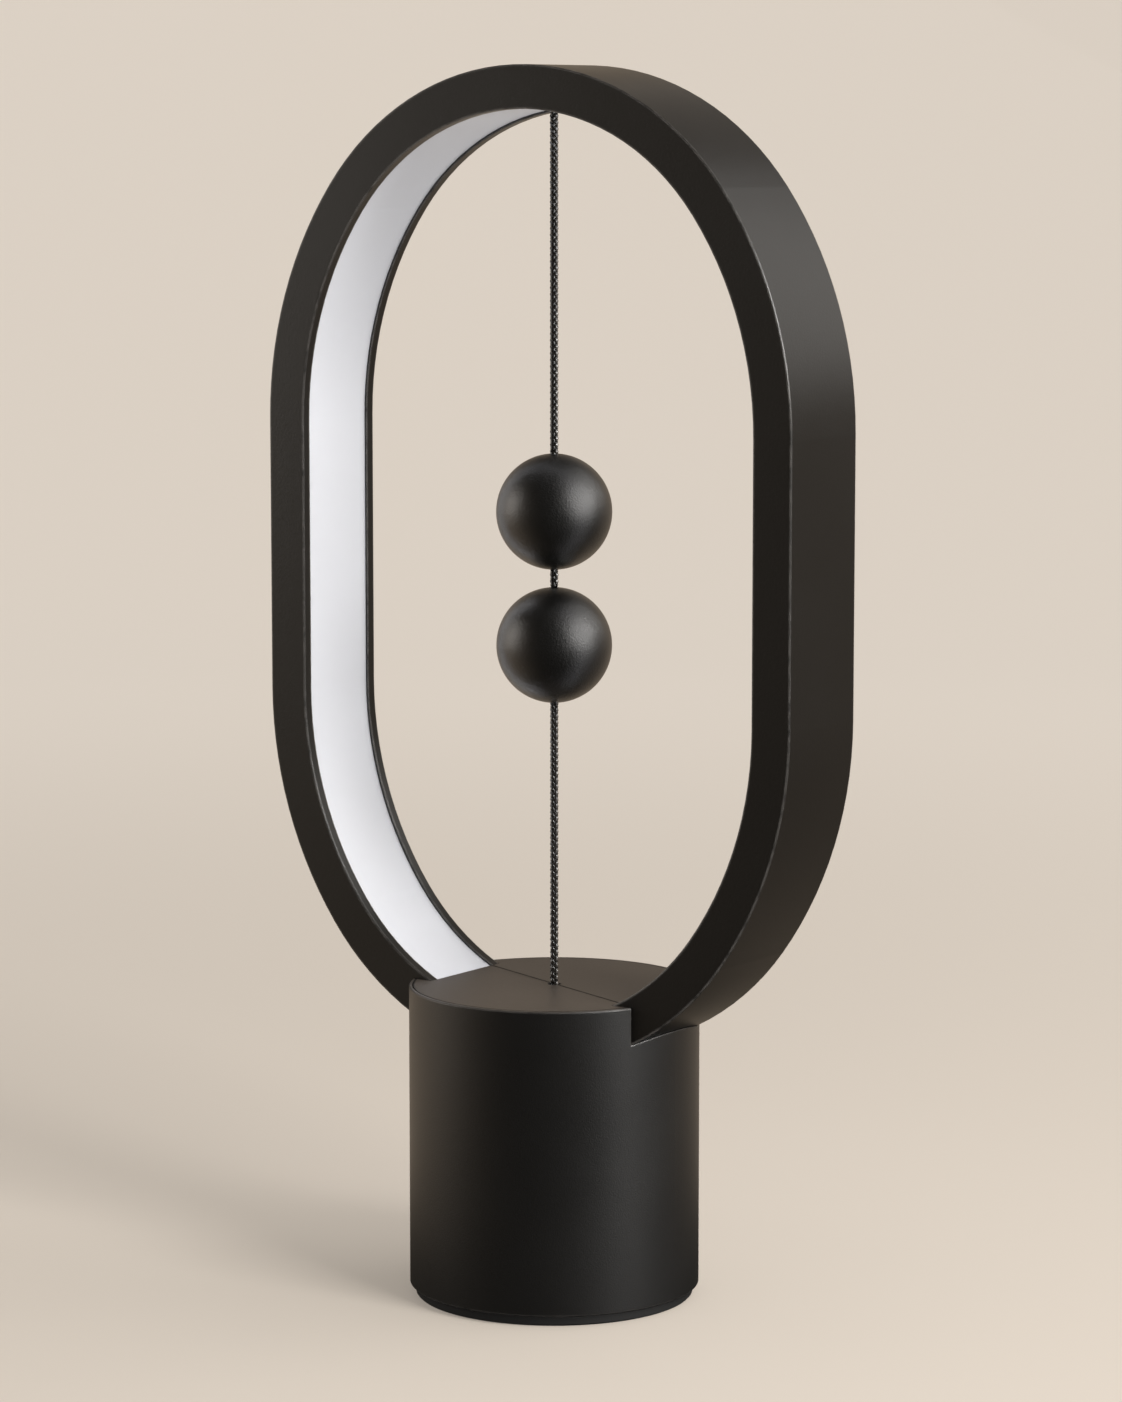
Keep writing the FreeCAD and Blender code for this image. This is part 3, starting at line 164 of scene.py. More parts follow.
# %% Even steps along a line
def even_steps(line, step):
    """Points at equal distances along the line, with the distance of each from its start."""
    lengths = [0.0]
    for before, after in zip(line, line[1:]):
        lengths.append(lengths[-1] + (after - before).length)
    total = lengths[-1]
    count = max(2, round(total / step))
    spots, piece = [], 0
    for number in range(count + 1):
        distance = total * number / count
        while piece < len(lengths) - 2 and lengths[piece + 1] < distance:
            piece += 1
        share = (distance - lengths[piece]) / (lengths[piece + 1] - lengths[piece])
        spots.append((distance, line[piece].lerp(line[piece + 1], share)))
    return spots, total


# %% [markdown]
# ### The path of a strand
#
# Each strand follows the cord's line and turns round it, two strands one way and two the other. In
# a real braid a strand lingers on the outside, where it runs steeply, and slips under its neighbour
# on the inside, where it turns fast. Two waves say that: one moves the strand out and in, and one
# slows its turn down.

# %% Path of a strand
BRAID_RADIUS = 0.00152    # out to the crests of the strands, which stand a little proud
BRAID_LEAD = 0.0042       # length in which a strand goes once round the cord
STEPS_PER_LEAD = 20
STRAND_THICK = 0.00046    # half of a strand's thickness
STRAND_WIDE = 0.00080     # half of its width
STRAND_SIDES = 8
OUTER_RIDE = BRAID_RADIUS - STRAND_THICK
INNER_RIDE = 0.00040
LINGER = 0.34             # how much a strand slows down while it is on the outside
BRAID_TURN = math.radians(-3)


def strand_place(distance, way, order):
    """How far out a strand is from the cord's middle, and in which direction."""
    quarter = math.pi / 2 if way < 0 else 0
    turn = 2 * math.pi * distance / BRAID_LEAD + order * math.pi - quarter
    middle, swing = (OUTER_RIDE + INNER_RIDE) / 2, (OUTER_RIDE - INNER_RIDE) / 2
    angle = way * (turn - LINGER * math.sin(2 * turn)) + quarter
    return middle + swing * math.cos(2 * turn), angle + BRAID_TURN


print(f"strands ride {INNER_RIDE * 1000:.2f} to {OUTER_RIDE * 1000:.2f} mm from the cord's middle")

# %% [markdown]
# ### The skin of a strand
#
# A strand is a flat oval tube. A curve with a bevel would be quicker, but it couldn't keep its flat
# side to the outside of the cord. So the tube is built by hand: rings of eight points, each square
# to the way that the strand runs there, then the faces between one ring and the next.

# %% Skin of a strand
def strand_corners(spots, way, order):
    """The points of one strand, ring after ring."""
    places = []
    for distance, middle in spots:
        ride, angle = strand_place(distance, way, order)
        outward = Vector((1, 0, 0)) * math.cos(angle) + Vector((0, 1, 0)) * math.sin(angle)
        places.append((middle + outward * ride, outward))
    corners = []
    for number, (place, outward) in enumerate(places):
        ahead = places[min(number + 1, len(places) - 1)][0]
        behind = places[max(number - 1, 0)][0]
        run = (ahead - behind).normalized()
        out = (outward - run * outward.dot(run)).normalized()
        side = run.cross(out)
        for step in range(STRAND_SIDES):
            turn = 2 * math.pi * step / STRAND_SIDES
            corners.append(place + out * (math.cos(turn) * STRAND_THICK)
                           + side * (math.sin(turn) * STRAND_WIDE))
    return corners


def strand_faces(first, rings):
    """The faces of one strand, closed at both ends, and the ring and side at which each starts."""
    faces, marks = [], []
    for ring in range(rings - 1):
        low = first + ring * STRAND_SIDES
        for side in range(STRAND_SIDES):
            after = (side + 1) % STRAND_SIDES
            faces.append((low + side, low + after,
                          low + STRAND_SIDES + after, low + STRAND_SIDES + side))
            marks.append((ring, side))
    last = first + (rings - 1) * STRAND_SIDES
    faces.append(tuple(reversed(range(first, first + STRAND_SIDES))))
    faces.append(tuple(range(last, last + STRAND_SIDES)))
    return faces, marks + [(0, 0), (rings - 1, 0)]


# %% [markdown]
# ### A map of the strand
#
# The finish will draw yarns along each strand and a painted highlight on its crests. It has to know
# where on the strand a point lies, so the mesh gets a UV map: one direction goes round the strand,
# and the other goes along it and counts the turns of the braid.

# %% Strand map
def map_strands(mesh, marks):
    """Writes the strand map from the ring and side at which each face starts."""
    strand_map = mesh.uv_layers.new(name="strand")
    for face, (ring, side) in zip(mesh.polygons, marks):
        is_end = len(face.loop_indices) == STRAND_SIDES
        across = (0,) * STRAND_SIDES if is_end else (0, 1, 1, 0)
        ahead = (0,) * STRAND_SIDES if is_end else (0, 0, 1, 1)
        for loop, right, up in zip(face.loop_indices, across, ahead):
            strand_map.data[loop].uv = ((side + right) / STRAND_SIDES, (ring + up) / STEPS_PER_LEAD)


# %% [markdown]
# ### A whole braid
#
# Four strands make the cord: two turn one way, half a turn apart, and two turn the other way. They
# are one mesh, so the cord is one piece that can swing or be squashed as a whole.

# %% Braid
def braided_cord(name, points):
    """A mesh of four strands round the route, with its line and its length."""
    line = route_line(f"{name}_route", points)
    spots, total = even_steps(line, BRAID_LEAD / STEPS_PER_LEAD)
    corners, faces, marks = [], [], []
    for way in (1, -1):
        for order in (0, 1):
            skin, places = strand_faces(len(corners), len(spots))
            corners += strand_corners(spots, way, order)
            faces += skin
            marks += places
    mesh = bpy.data.meshes.new(name)
    mesh.from_pydata(corners, [], faces)
    map_strands(mesh, marks)
    mesh.shade_smooth()
    cord = put_in_scene(name, mesh)
    print(f"{name}: {total * 1000:.1f} mm, {len(faces)} faces")
    return cord, [list(spot) for _, spot in spots], total


# %% [markdown]
# ### The upper cord in place
#
# The upper cord hangs from a bead in the top of the ring, runs through the upper ball and ends in
# the gap just under it. It could stay fixed to the ring and bend, but it hangs straight and swings
# from its bead, so it simply rides with the ball.

# %% Upper cord
BEAD_BOTTOM = 0.3879
UPPER_TAIL = 0.23305

upper_cord, upper_line, upper_length = braided_cord(
    "upper_braid", [(0, 0, BEAD_BOTTOM), (0, 0, 0.34), (0, 0, 0.285), (0, 0, UPPER_TAIL)])
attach(upper_cord, "upper_ball")
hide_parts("upper_cord")

# %% [markdown]
# ### The lower cord in place
#
# The lower cord stands straight up because the magnet pulls it: it starts in the switch's plunger
# and ends in the lower ball. When the ball is pulled down, a real cord folds up on the lid. Folding
# a braid at every height of the ball would be hard, so here it is not folded: it rides on the stand
# with a mesh of its own.

# %% Lower cord
LOWER_START = 0.0816
LOWER_TOP = 0.2205

lower_cord, lower_line, lower_length = braided_cord(
    "lower_braid", [(0, 0, LOWER_START), (0, 0, 0.12), (0, 0, 0.17), (0, 0, LOWER_TOP)])
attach(lower_cord, "stand")
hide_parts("lower_cord")
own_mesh(lower_cord)

# %% [markdown]
# ## Nodes in few words
#
# A shader is a tree of nodes whose sockets are joined by links. Written out in full, each link is a
# line of its own. One helper makes a node and fills its sockets, either with a value or with
# another node's output, and a few more name what is needed most: sums, stretched ranges, places and
# noise.

# %% Node helpers
def add_node(tree, kind, inputs=None, **settings):
    """A node with its properties set, and each named input given a value or a socket to follow."""
    node = tree.nodes.new(kind)
    for label, value in settings.items():
        setattr(node, label, value)
    for label, value in (inputs or {}).items():
        if isinstance(value, bpy.types.NodeSocket):
            tree.links.new(value, node.inputs[label])
        else:
            node.inputs[label].default_value = value
    return node


def reckon(tree, operation, *values, **settings):
    """The result of a sum on numbers."""
    inputs = dict(enumerate(values))
    node = add_node(tree, "ShaderNodeMath", inputs, operation=operation, **settings)
    return node.outputs["Value"]


def reckon_places(tree, operation, *values):
    """The result of a sum on places or directions. A dot product and a length are numbers."""
    inputs = dict(enumerate(values))
    node = add_node(tree, "ShaderNodeVectorMath", inputs, operation=operation)
    return node.outputs["Value" if operation in ("DOT_PRODUCT", "LENGTH") else "Vector"]


def stretch(tree, value, low, high, to_low=0.0, to_high=1.0, smooth=False):
    """A number stretched from one range to another and held within it."""
    node = add_node(tree, "ShaderNodeMapRange", {
        "Value": value, "From Min": low, "From Max": high, "To Min": to_low, "To Max": to_high},
        interpolation_type="SMOOTHSTEP" if smooth else "LINEAR")
    return node.outputs["Result"]


def own_place(tree):
    """Where each point lies on its own object, in metres."""
    return add_node(tree, "ShaderNodeTexCoord").outputs["Object"]


def noise(tree, place, scale, detail, roughness=0.5):
    """Cloudy noise that stays round a half."""
    node = add_node(tree, "ShaderNodeTexNoise", {
        "Vector": place, "Scale": scale, "Detail": detail, "Roughness": roughness})
    return node.outputs["Fac"]


# %% [markdown]
# ### Mixing two tones
#
# The mix node has a socket A and a socket B for numbers, for directions and for colours, all under
# the same names. The ones for colours are found by their number.

# %% Mixing helper
COLOUR_A, COLOUR_B, COLOUR_OUT = 6, 7, 2


def mix_tones(tree, first, second, share):
    """A mix of two tones, each either a colour or a socket: all first at 0, all second at 1."""
    first, second = ((*tone, 1) if isinstance(tone, tuple) else tone for tone in (first, second))
    mixed = add_node(tree, "ShaderNodeMix", {COLOUR_A: first, COLOUR_B: second, "Factor": share},
                     data_type="RGBA")
    return mixed.outputs[COLOUR_OUT]


# %% [markdown]
# ## Shared effects
#
# Real surfaces are never one flat colour. A few small node groups add what nearly every piece of
# the lamp has: a fine grain, lighter edges, and a trace of dust. The lighter edges stand partly for
# wear from handling and partly for the thin highlight that a rounded edge catches, so they are
# partly a painted highlight. Each group is built once and gets its own values in every material
# that uses it.

# %% Helper for node groups
def new_group(name, inputs, outputs):
    """An empty shader node group with number sockets, and its two end nodes."""
    group = bpy.data.node_groups.new(name, "ShaderNodeTree")
    for label, value in inputs.items():
        socket = group.interface.new_socket(label, in_out="INPUT", socket_type="NodeSocketFloat")
        socket.default_value = value
    for label in outputs:
        group.interface.new_socket(label, in_out="OUTPUT", socket_type="NodeSocketFloat")
    print(f"group {name}: {', '.join(inputs)} in, {', '.join(outputs)} out")
    return group, group.nodes.new("NodeGroupInput"), group.nodes.new("NodeGroupOutput")


# %% [markdown]
# ### Grain
#
# Lacquer on metal, moulded plastic and rubber all have a grain that is finer than half a
# millimetre. Modelling it would take millions of faces, and from a hand's distance only its effect
# on the light shows. Two noises make it: a fine one for the height, and a broad one that lets the
# gloss and the tone drift from place to place.

# %% Grain group
grain, ends_in, ends_out = new_group(
    "grain", {"Grains per metre": 1500.0, "Patches per metre": 25.0}, ["Height", "Patch"])
place = own_place(grain)
fine = noise(grain, place, ends_in.outputs["Grains per metre"], detail=3.0, roughness=0.6)
broad = noise(grain, place, ends_in.outputs["Patches per metre"], detail=2.0)
grain.links.new(fine, ends_out.inputs["Height"])
grain.links.new(broad, ends_out.inputs["Patch"])

# %% [markdown]
# ### Lighter edges: wear and painted highlight
#
# Hands and cloths polish the edges of a black piece first, and a rounded edge catches a thin
# highlight. Both are painted here as one lighter tone along the edges: partly wear, partly a
# painted highlight. Painting each edge by hand would have to be done again for every piece, so the
# shader looks for edges itself: a bevel node softens the normal round each point, and where that
# differs from the true one, there is an edge. Noise breaks the line up so that it looks uneven.

# %% Edge group for wear and painted highlight
FLAT_LIKENESS, SHARP_LIKENESS = 0.995, 0.88    # of the softened normal to the true one
EDGE_SPOTS = 260.0
EDGE_GAPS, EDGE_FULL = 0.2, 0.55

# A lighter edge tone: partly wear, partly painted highlight.
edge_wear_and_highlight, ends_in, ends_out = new_group("edge_wear_and_painted_highlight", {"Width": 0.0005, "Amount": 1.0}, ["Edge"])
softened = add_node(edge_wear_and_highlight, "ShaderNodeBevel", {"Radius": ends_in.outputs["Width"]}, samples=4)
true_one = add_node(edge_wear_and_highlight, "ShaderNodeNewGeometry")
likeness = reckon_places(
    edge_wear_and_highlight, "DOT_PRODUCT", softened.outputs["Normal"], true_one.outputs["Normal"])
on_edge = stretch(edge_wear_and_highlight, likeness, FLAT_LIKENESS, SHARP_LIKENESS)
spots = noise(edge_wear_and_highlight, own_place(edge_wear_and_highlight), EDGE_SPOTS, detail=4.0)
edge_wear_and_highlight_mask = reckon(edge_wear_and_highlight, "MULTIPLY", on_edge, stretch(edge_wear_and_highlight, spots, EDGE_GAPS, EDGE_FULL))
edge_wear_and_highlight_mask = reckon(edge_wear_and_highlight, "MULTIPLY", edge_wear_and_highlight_mask, ends_in.outputs["Amount"], use_clamp=True)
edge_wear_and_highlight.links.new(edge_wear_and_highlight_mask, ends_out.inputs["Edge"])

# %% [markdown]
# ### Dust
#
# Dust settles on what faces up, so the height of the normal tells where it lies, and noise thins it
# out to specks. Its amount stays small, because the lamp is clean.

# %% Dust group
SPECKS = 700.0
SPECK_START, SPECK_FULL = 0.5, 0.8


def facing_up(tree, start, full):
    """A mask that grows from 0 to 1 while the normal's height goes from start to full."""
    normal = add_node(tree, "ShaderNodeNewGeometry").outputs["Normal"]
    upright = add_node(tree, "ShaderNodeSeparateXYZ", {"Vector": normal}).outputs["Z"]
    return stretch(tree, upright, start, full)


dust, ends_in, ends_out = new_group("dust", {"Amount": 0.05}, ["Dust"])
specks = noise(dust, own_place(dust), SPECKS, detail=5.0, roughness=0.7)
settled = reckon(dust, "MULTIPLY", facing_up(dust, start=0.5, full=1.0),
                 stretch(dust, specks, SPECK_START, SPECK_FULL))
settled = reckon(dust, "MULTIPLY", settled, ends_in.outputs["Amount"], use_clamp=True)
dust.links.new(settled, ends_out.inputs["Dust"])

# %% [markdown]
# ## Finishes
#
# One function lays out the nodes that all finishes share. The Principled BSDF stays in the material
# itself, and the groups feed its colour, roughness and normal. What is the same all over a surface,
# such as how metallic it is, is set on the shader's own socket.
#
# ### Layers over a colour
#
# Lighter edges, dust and the like go over the colour one after another, as paint would; the lighter
# edges are partly wear and partly a painted highlight. Each layer takes whatever feeds the colour
# so far and mixes its own tone over it where a mask says so.

# %% Layers over a colour
def feed_of(material, label):
    """The socket that one of the shader's inputs follows."""
    return material.node_tree.nodes["Principled BSDF"].inputs[label].links[0].from_socket


def lay_over(material, tone, mask):
    """Lays a tone over the material's colour where the mask is 1."""
    tree = material.node_tree
    mixed = mix_tones(tree, feed_of(material, "Base Color"), tone, mask)
    tree.links.new(mixed, tree.nodes["Principled BSDF"].inputs["Base Color"])


# %% [markdown]
# ### One recipe for all finishes
#
# A finish starts from one tone that drifts from patch to patch, with a gloss that drifts along with
# it. The grain raises the surface. A piece with worked edges also gets a bevel node under its
# grain: no real edge is knife-sharp, and rounding it in the shading alone leaves the solid as it
# is.

# %% A finish from the shared groups
DUST_TONE = (0.45, 0.42, 0.38)
PATCH_LOW, PATCH_HIGH = 0.3, 0.7      # the range in which the broad noise mostly stays


def finish_of(name, tone, edge_wear_and_highlight_tone=None, rough=(0.35, 0.45), grains=1500.0, patches=25.0,
              height=0.00001, metallic=0.0, edge=0.0, edge_width=0.0005, dusty=0.0, drift=0.12,
              **plain):
    """A node-based material: its tone drifts, its edges get a lighter tone for wear and a painted
    highlight, and grain raises its surface.
    """
    material = bpy.data.materials.new(name)
    material.use_nodes = True
    tree = material.node_tree
    shader = tree.nodes["Principled BSDF"]
    shader.inputs["Metallic"].default_value = metallic
    for label, value in plain.items():
        shader.inputs[label.replace("_", " ")].default_value = value
    surface = add_node(tree, "ShaderNodeGroup", {
        "Grains per metre": grains, "Patches per metre": patches}, node_tree=grain)
    patch = surface.outputs["Patch"]
    tree.links.new(stretch(tree, patch, PATCH_LOW, PATCH_HIGH, *rough), shader.inputs["Roughness"])
    lift = add_node(tree, "ShaderNodeBump", {
        "Strength": 1.0, "Distance": height, "Height": surface.outputs["Height"]})
    tree.links.new(lift.outputs["Normal"], shader.inputs["Normal"])
    darker = tuple(value * (1 - drift) for value in tone)
    lighter = tuple(min(1.0, value * (1 + drift)) for value in tone)
    tree.links.new(mix_tones(tree, darker, lighter, patch), shader.inputs["Base Color"])
    if edge:
        rounded = add_node(tree, "ShaderNodeBevel", {"Radius": edge_width}, samples=4)
        tree.links.new(rounded.outputs["Normal"], lift.inputs["Normal"])
        # The lighter edge tone: partly wear, partly painted highlight.
        edge_wear_and_highlight_mask = add_node(tree, "ShaderNodeGroup", {"Width": edge_width, "Amount": edge},
                        node_tree=edge_wear_and_highlight)
        lay_over(material, edge_wear_and_highlight_tone or tone, edge_wear_and_highlight_mask.outputs["Edge"])
    if dusty:
        settled = add_node(tree, "ShaderNodeGroup", {"Amount": dusty}, node_tree=dust)
        lay_over(material, DUST_TONE, settled.outputs["Dust"])
    return material


def wear(material, *nodes):
    """Puts a finish on the model's own pieces."""
    for node in nodes:
        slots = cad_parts[node].data.materials
        slots.clear()
        slots.append(material)
    print(f"{material.name}: {', '.join(nodes)}")


# %% [markdown]
# ### Satin black lacquer
#
# The ring and the base are metal under a satin, slightly warm black lacquer. It is nearly matt when
# you look straight at it and mirrors the room softly at a low angle, which the Principled shader
# does by itself. A separate clear coat would make it look wet. The base has a little more tooth
# than the ring. Its rim faces up into the light, so its upward faces are painted as brown and pale
# as the lid: painted light. The lighter edges of both are mostly a painted highlight along the
# rounded edges, with a little wear.

# %% Lacquer
LACQUER_BLACK = (0.0055, 0.0050, 0.0045)
# The black lacquer painted brown and paler for faces that catch the light from above: painted
# light.
LACQUER_PAINTED_LIT = (0.068, 0.056, 0.046)

# The lighter edge tones of ring and base are mostly a painted highlight, with a little wear.
ring_lacquer = finish_of("ring_lacquer", LACQUER_BLACK, (0.20, 0.185, 0.17), rough=(0.29, 0.33),
                         grains=1500.0, patches=18.0, height=0.00004, edge=1.0, edge_width=0.0010,
                         dusty=0.03, Specular_IOR_Level=0.85)
base_lacquer = finish_of("base_lacquer", LACQUER_BLACK, (0.13, 0.12, 0.11), rough=(0.38, 0.43),
                         grains=2200.0, patches=20.0, height=0.00006, edge=0.8, edge_width=0.0006,
                         dusty=0.03, Specular_IOR_Level=1.0, IOR=1.6)
# Upward faces of the cup's rim get the paler brown: painted light.
lay_over(base_lacquer, LACQUER_PAINTED_LIT, facing_up(base_lacquer.node_tree, start=0.6, full=0.95))
wear(ring_lacquer, "ring_channel")
wear(base_lacquer, "base_cup")

# %% [markdown]
# ### Lid
#
# The two covers that close the base lie flat under the light. Their black lacquer is painted brown
# and paler, a painted light for the light that they catch, and it is matt. Dark lines mark the seam
# between them and the gap round them. Both are real gaps in the solids, but thinner than a pixel,
# so the shade in them is painted along their edges: painted shade. The lines are found by their
# distance: from the seam's slanting line, and from the lamp's middle.

# %% Lid lacquer
SEAM_ANGLE = math.radians(22)
SEAM_DARK, SEAM_CLEAR = 0.0004, 0.0007         # distances from the seam's middle
RIM_CLEAR, RIM_DARK = 0.0007, 0.0002           # distances from the lid's edge
GAP_SHADE = (0.002, 0.0018, 0.0015)
LID_RADIUS = -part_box("top_cover_front")[0][1]

# The lid's brown is the black lacquer painted paler: painted light.
lid_lacquer = finish_of("lid_lacquer", LACQUER_PAINTED_LIT, (0.066, 0.06, 0.054), rough=(0.46, 0.50),
                        grains=1000.0, patches=22.0, height=0.00003, edge=0.4, edge_width=0.0004,
                        dusty=0.04, Specular_IOR_Level=0.35)
tree = lid_lacquer.node_tree
place = own_place(tree)
across_seam = (math.sin(SEAM_ANGLE), math.cos(SEAM_ANGLE), 0)
from_seam = reckon(tree, "ABSOLUTE", reckon_places(tree, "DOT_PRODUCT", place, across_seam))
from_middle = reckon_places(tree, "LENGTH", reckon_places(tree, "MULTIPLY", place, (1, 1, 0)))
in_seam = stretch(tree, from_seam, SEAM_DARK, SEAM_CLEAR, 1.0, 0.0)
at_rim = stretch(tree, from_middle, LID_RADIUS - RIM_CLEAR, LID_RADIUS - RIM_DARK)
# Painted shade in the seam and in the gap round the lid.
lay_over(lid_lacquer, GAP_SHADE, reckon(tree, "MAXIMUM", in_seam, at_rim))
wear(lid_lacquer, "top_cover_front", "top_cover_rear")
print(f"lid radius: {LID_RADIUS * 1000:.2f} mm")

# %% [markdown]
# ### Opal strip
#
# The strip inside the ring is opal plastic over a row of lights that are off. Light enters it and
# spreads. A plain white would look like paint, so it gets some subsurface scattering, a cool tone
# and a soft gloss.

# %% Opal plastic
opal = finish_of("opal_plastic", (0.73, 0.745, 0.795), rough=(0.38, 0.46), grains=900.0,
                 patches=12.0, height=0.000002, drift=0.015, Subsurface_Weight=0.25,
                 Subsurface_Radius=(0.004, 0.004, 0.0042), Subsurface_Scale=1.0)
wear(opal, "diffuser")

# %% [markdown]
# ### Balls
#
# The balls are moulded in black plastic with a fine, even grain that breaks their highlight into
# tiny points. A rougher shader would only blur the highlight, so the grain is raised instead.

# %% Ball plastic
ball_plastic = finish_of("ball_plastic", (0.0030, 0.0028, 0.0026), rough=(0.31, 0.36),
                         grains=1700.0, patches=60.0, height=0.00012, dusty=0.02,
                         Specular_IOR_Level=1.0, IOR=1.7)
wear(ball_plastic, "upper_ball_top", "upper_ball_bottom", "lower_ball_top", "lower_ball_bottom")

# %% [markdown]
# ### Cord yarn
#
# The strands are bundles of smooth black yarn. Modelling every yarn would be too fine to see, so
# stripes along the strand's own map raise the surface and stretch the highlight.

# %% Cord yarn
cord_yarn = finish_of("cord_yarn", (0.010, 0.0085, 0.0072), rough=(0.20, 0.27), grains=5000.0,
                      patches=200.0, height=0.000006, Specular_IOR_Level=1.0, IOR=1.8)
tree = cord_yarn.node_tree
strand_map = add_node(tree, "ShaderNodeUVMap", uv_map="strand").outputs["UV"]
stripes = add_node(tree, "ShaderNodeTexWave", {
    "Vector": strand_map, "Scale": 2.5, "Distortion": 0.6, "Detail": 1.0},
    wave_type="BANDS", bands_direction="X")
yarns = add_node(tree, "ShaderNodeBump", {
    "Strength": 0.3, "Distance": 0.00003, "Height": stripes.outputs["Fac"],
    "Normal": feed_of(cord_yarn, "Normal")})
tree.links.new(yarns.outputs["Normal"], tree.nodes["Principled BSDF"].inputs["Normal"])
print("yarns: stripes along each strand")

# %% [markdown]
# ### Painted highlight on the crests
#
# The crests get a paler colour, a painted highlight. The two strands that turn one way come
# outermost at every half turn of the braid, always with the same side up. Both can be read from the
# strand map: the fraction of each count runs from 0 to 1, and is farthest from a half on the crest.
# The other two strands dip under at these places and stay darker where they come up, so only every
# second crest gets the painted highlight.

# %% Painted highlight on the crests
CREST_PAINTED_HIGHLIGHT = (0.20, 0.18, 0.16)
CRESTS_PER_LEAD = 2.0
LONG_START, WIDE_START = 0.22, 0.28    # where the sheen begins, along and across the strand


def crest(tree, count, repeats, start):
    """A mask that grows to 1 where the strand comes outermost."""
    fraction = reckon(tree, "FRACT", reckon(tree, "MULTIPLY", count, repeats))
    from_half = reckon(tree, "ABSOLUTE", reckon(tree, "SUBTRACT", fraction, 0.5))
    return stretch(tree, from_half, start, 0.5, smooth=True)


counts = add_node(tree, "ShaderNodeSeparateXYZ", {"Vector": strand_map}).outputs
on_crest = reckon(tree, "MULTIPLY",
                  crest(tree, counts["Y"], repeats=CRESTS_PER_LEAD, start=LONG_START),
                  crest(tree, counts["X"], repeats=1.0, start=WIDE_START))
# A paler colour on the crests: painted highlight.
lay_over(cord_yarn, CREST_PAINTED_HIGHLIGHT, on_crest)
for cord in (upper_cord, lower_cord):
    cord.data.materials.append(cord_yarn)
print("cord_yarn: upper_braid, lower_braid")

# %% [markdown]
# ### Rubber and plastics
#
# The foot is a black rubber disc, matt and a little dusty. The bushes, the inlet and the hidden
# moulded parts are plastics. They could share one black, but a switch, a bush and a moulded block
# come from different makers and differ in tone and tooth.

# %% Rubber and plastics
wear(finish_of("foot_rubber", (0.012, 0.0118, 0.0115), rough=(0.62, 0.75), grains=1100.0,
               height=0.00003, dusty=0.05), "foot_pad")
wear(finish_of("bush_plastic", (0.012, 0.012, 0.012), rough=(0.35, 0.45), height=0.000008),
     "top_bush", "cord_bush")
wear(finish_of("inlet_plastic", (0.014, 0.014, 0.0145), rough=(0.4, 0.5), height=0.00001),
     "power_inlet")
wear(finish_of("moulded_grey", (0.06, 0.06, 0.063), rough=(0.45, 0.6), height=0.00002, edge=0.2,
               edge_wear_and_highlight_tone=(0.12, 0.12, 0.12)), "ring_cradle", "switch_frame")
wear(finish_of("natural_plastic", (0.72, 0.71, 0.67), rough=(0.35, 0.45), drift=0.04,
               height=0.00001, Subsurface_Weight=0.1, Subsurface_Radius=(0.002, 0.002, 0.002),
               Subsurface_Scale=1.0), "pull_plunger")
wear(finish_of("switch_plastic", (0.025, 0.025, 0.026), rough=(0.4, 0.5), height=0.00001),
     "microswitch")
wear(finish_of("button_plastic", (0.45, 0.03, 0.02), rough=(0.3, 0.4), drift=0.06),
     "switch_button")
wear(finish_of("lead_sleeve", (0.02, 0.02, 0.02), rough=(0.45, 0.55), height=0.00001),
     "inlet_lead", "led_lead_left", "led_lead_right", "switch_lead")

# %% [markdown]
# ### Metals
#
# Screws, springs and crimps are bare metal. They are metallic all over, and only their tone, gloss
# and grain vary: nickel is nearly a mirror, and aluminium is matt. Cast iron is coarse and dull
# under a skin of oxide, so it is only partly metallic.

# %% Metals
wear(finish_of("screw_steel", (0.52, 0.52, 0.53), (0.75, 0.75, 0.75), rough=(0.28, 0.42),
               metallic=1.0, grains=2500.0, patches=120.0, height=0.000008, edge=0.5,
               edge_width=0.0003),
     "tie_screws", "board_screws", "ring_screws", "switch_screws", "anchor_screws")
wear(finish_of("spring_steel", (0.56, 0.56, 0.57), rough=(0.2, 0.3), metallic=1.0, grains=4000.0,
               patches=150.0, height=0.000004), "return_spring", "switch_lever")
wear(finish_of("plain_aluminium", (0.62, 0.62, 0.63), (0.8, 0.8, 0.8), rough=(0.35, 0.5),
               metallic=1.0, patches=80.0, height=0.000008, edge=0.4),
     "top_anchor", "upper_crimp", "lower_crimp", "cord_ferrule")
wear(finish_of("turned_brass", (0.62, 0.44, 0.16), rough=(0.22, 0.34), metallic=1.0,
               patches=120.0, height=0.000004), "stopper_bead", "inlet_pin", "board_standoffs")
wear(finish_of("magnet_nickel", (0.60, 0.58, 0.54), (0.75, 0.73, 0.7), rough=(0.12, 0.22),
               metallic=1.0, patches=90.0, height=0.000002, edge=0.3),
     "upper_magnet", "lower_magnet")
wear(finish_of("cast_iron", (0.09, 0.088, 0.085), (0.2, 0.2, 0.2), rough=(0.5, 0.7), metallic=0.7,
               grains=700.0, patches=60.0, height=0.00008, edge=0.4), "counterweight")

# %% [markdown]
# ### Circuit board
#
# The board is glass laminate under a green mask, through which the copper tracks show a little
# paler. Nobody sees it with the base closed, so a brick texture with wide bricks stands for the
# tracks.

# %% Circuit board
COPPER_UNDER_MASK = (0.03, 0.2, 0.08)
BLACK, WHITE = (0, 0, 0, 1), (1, 1, 1, 1)

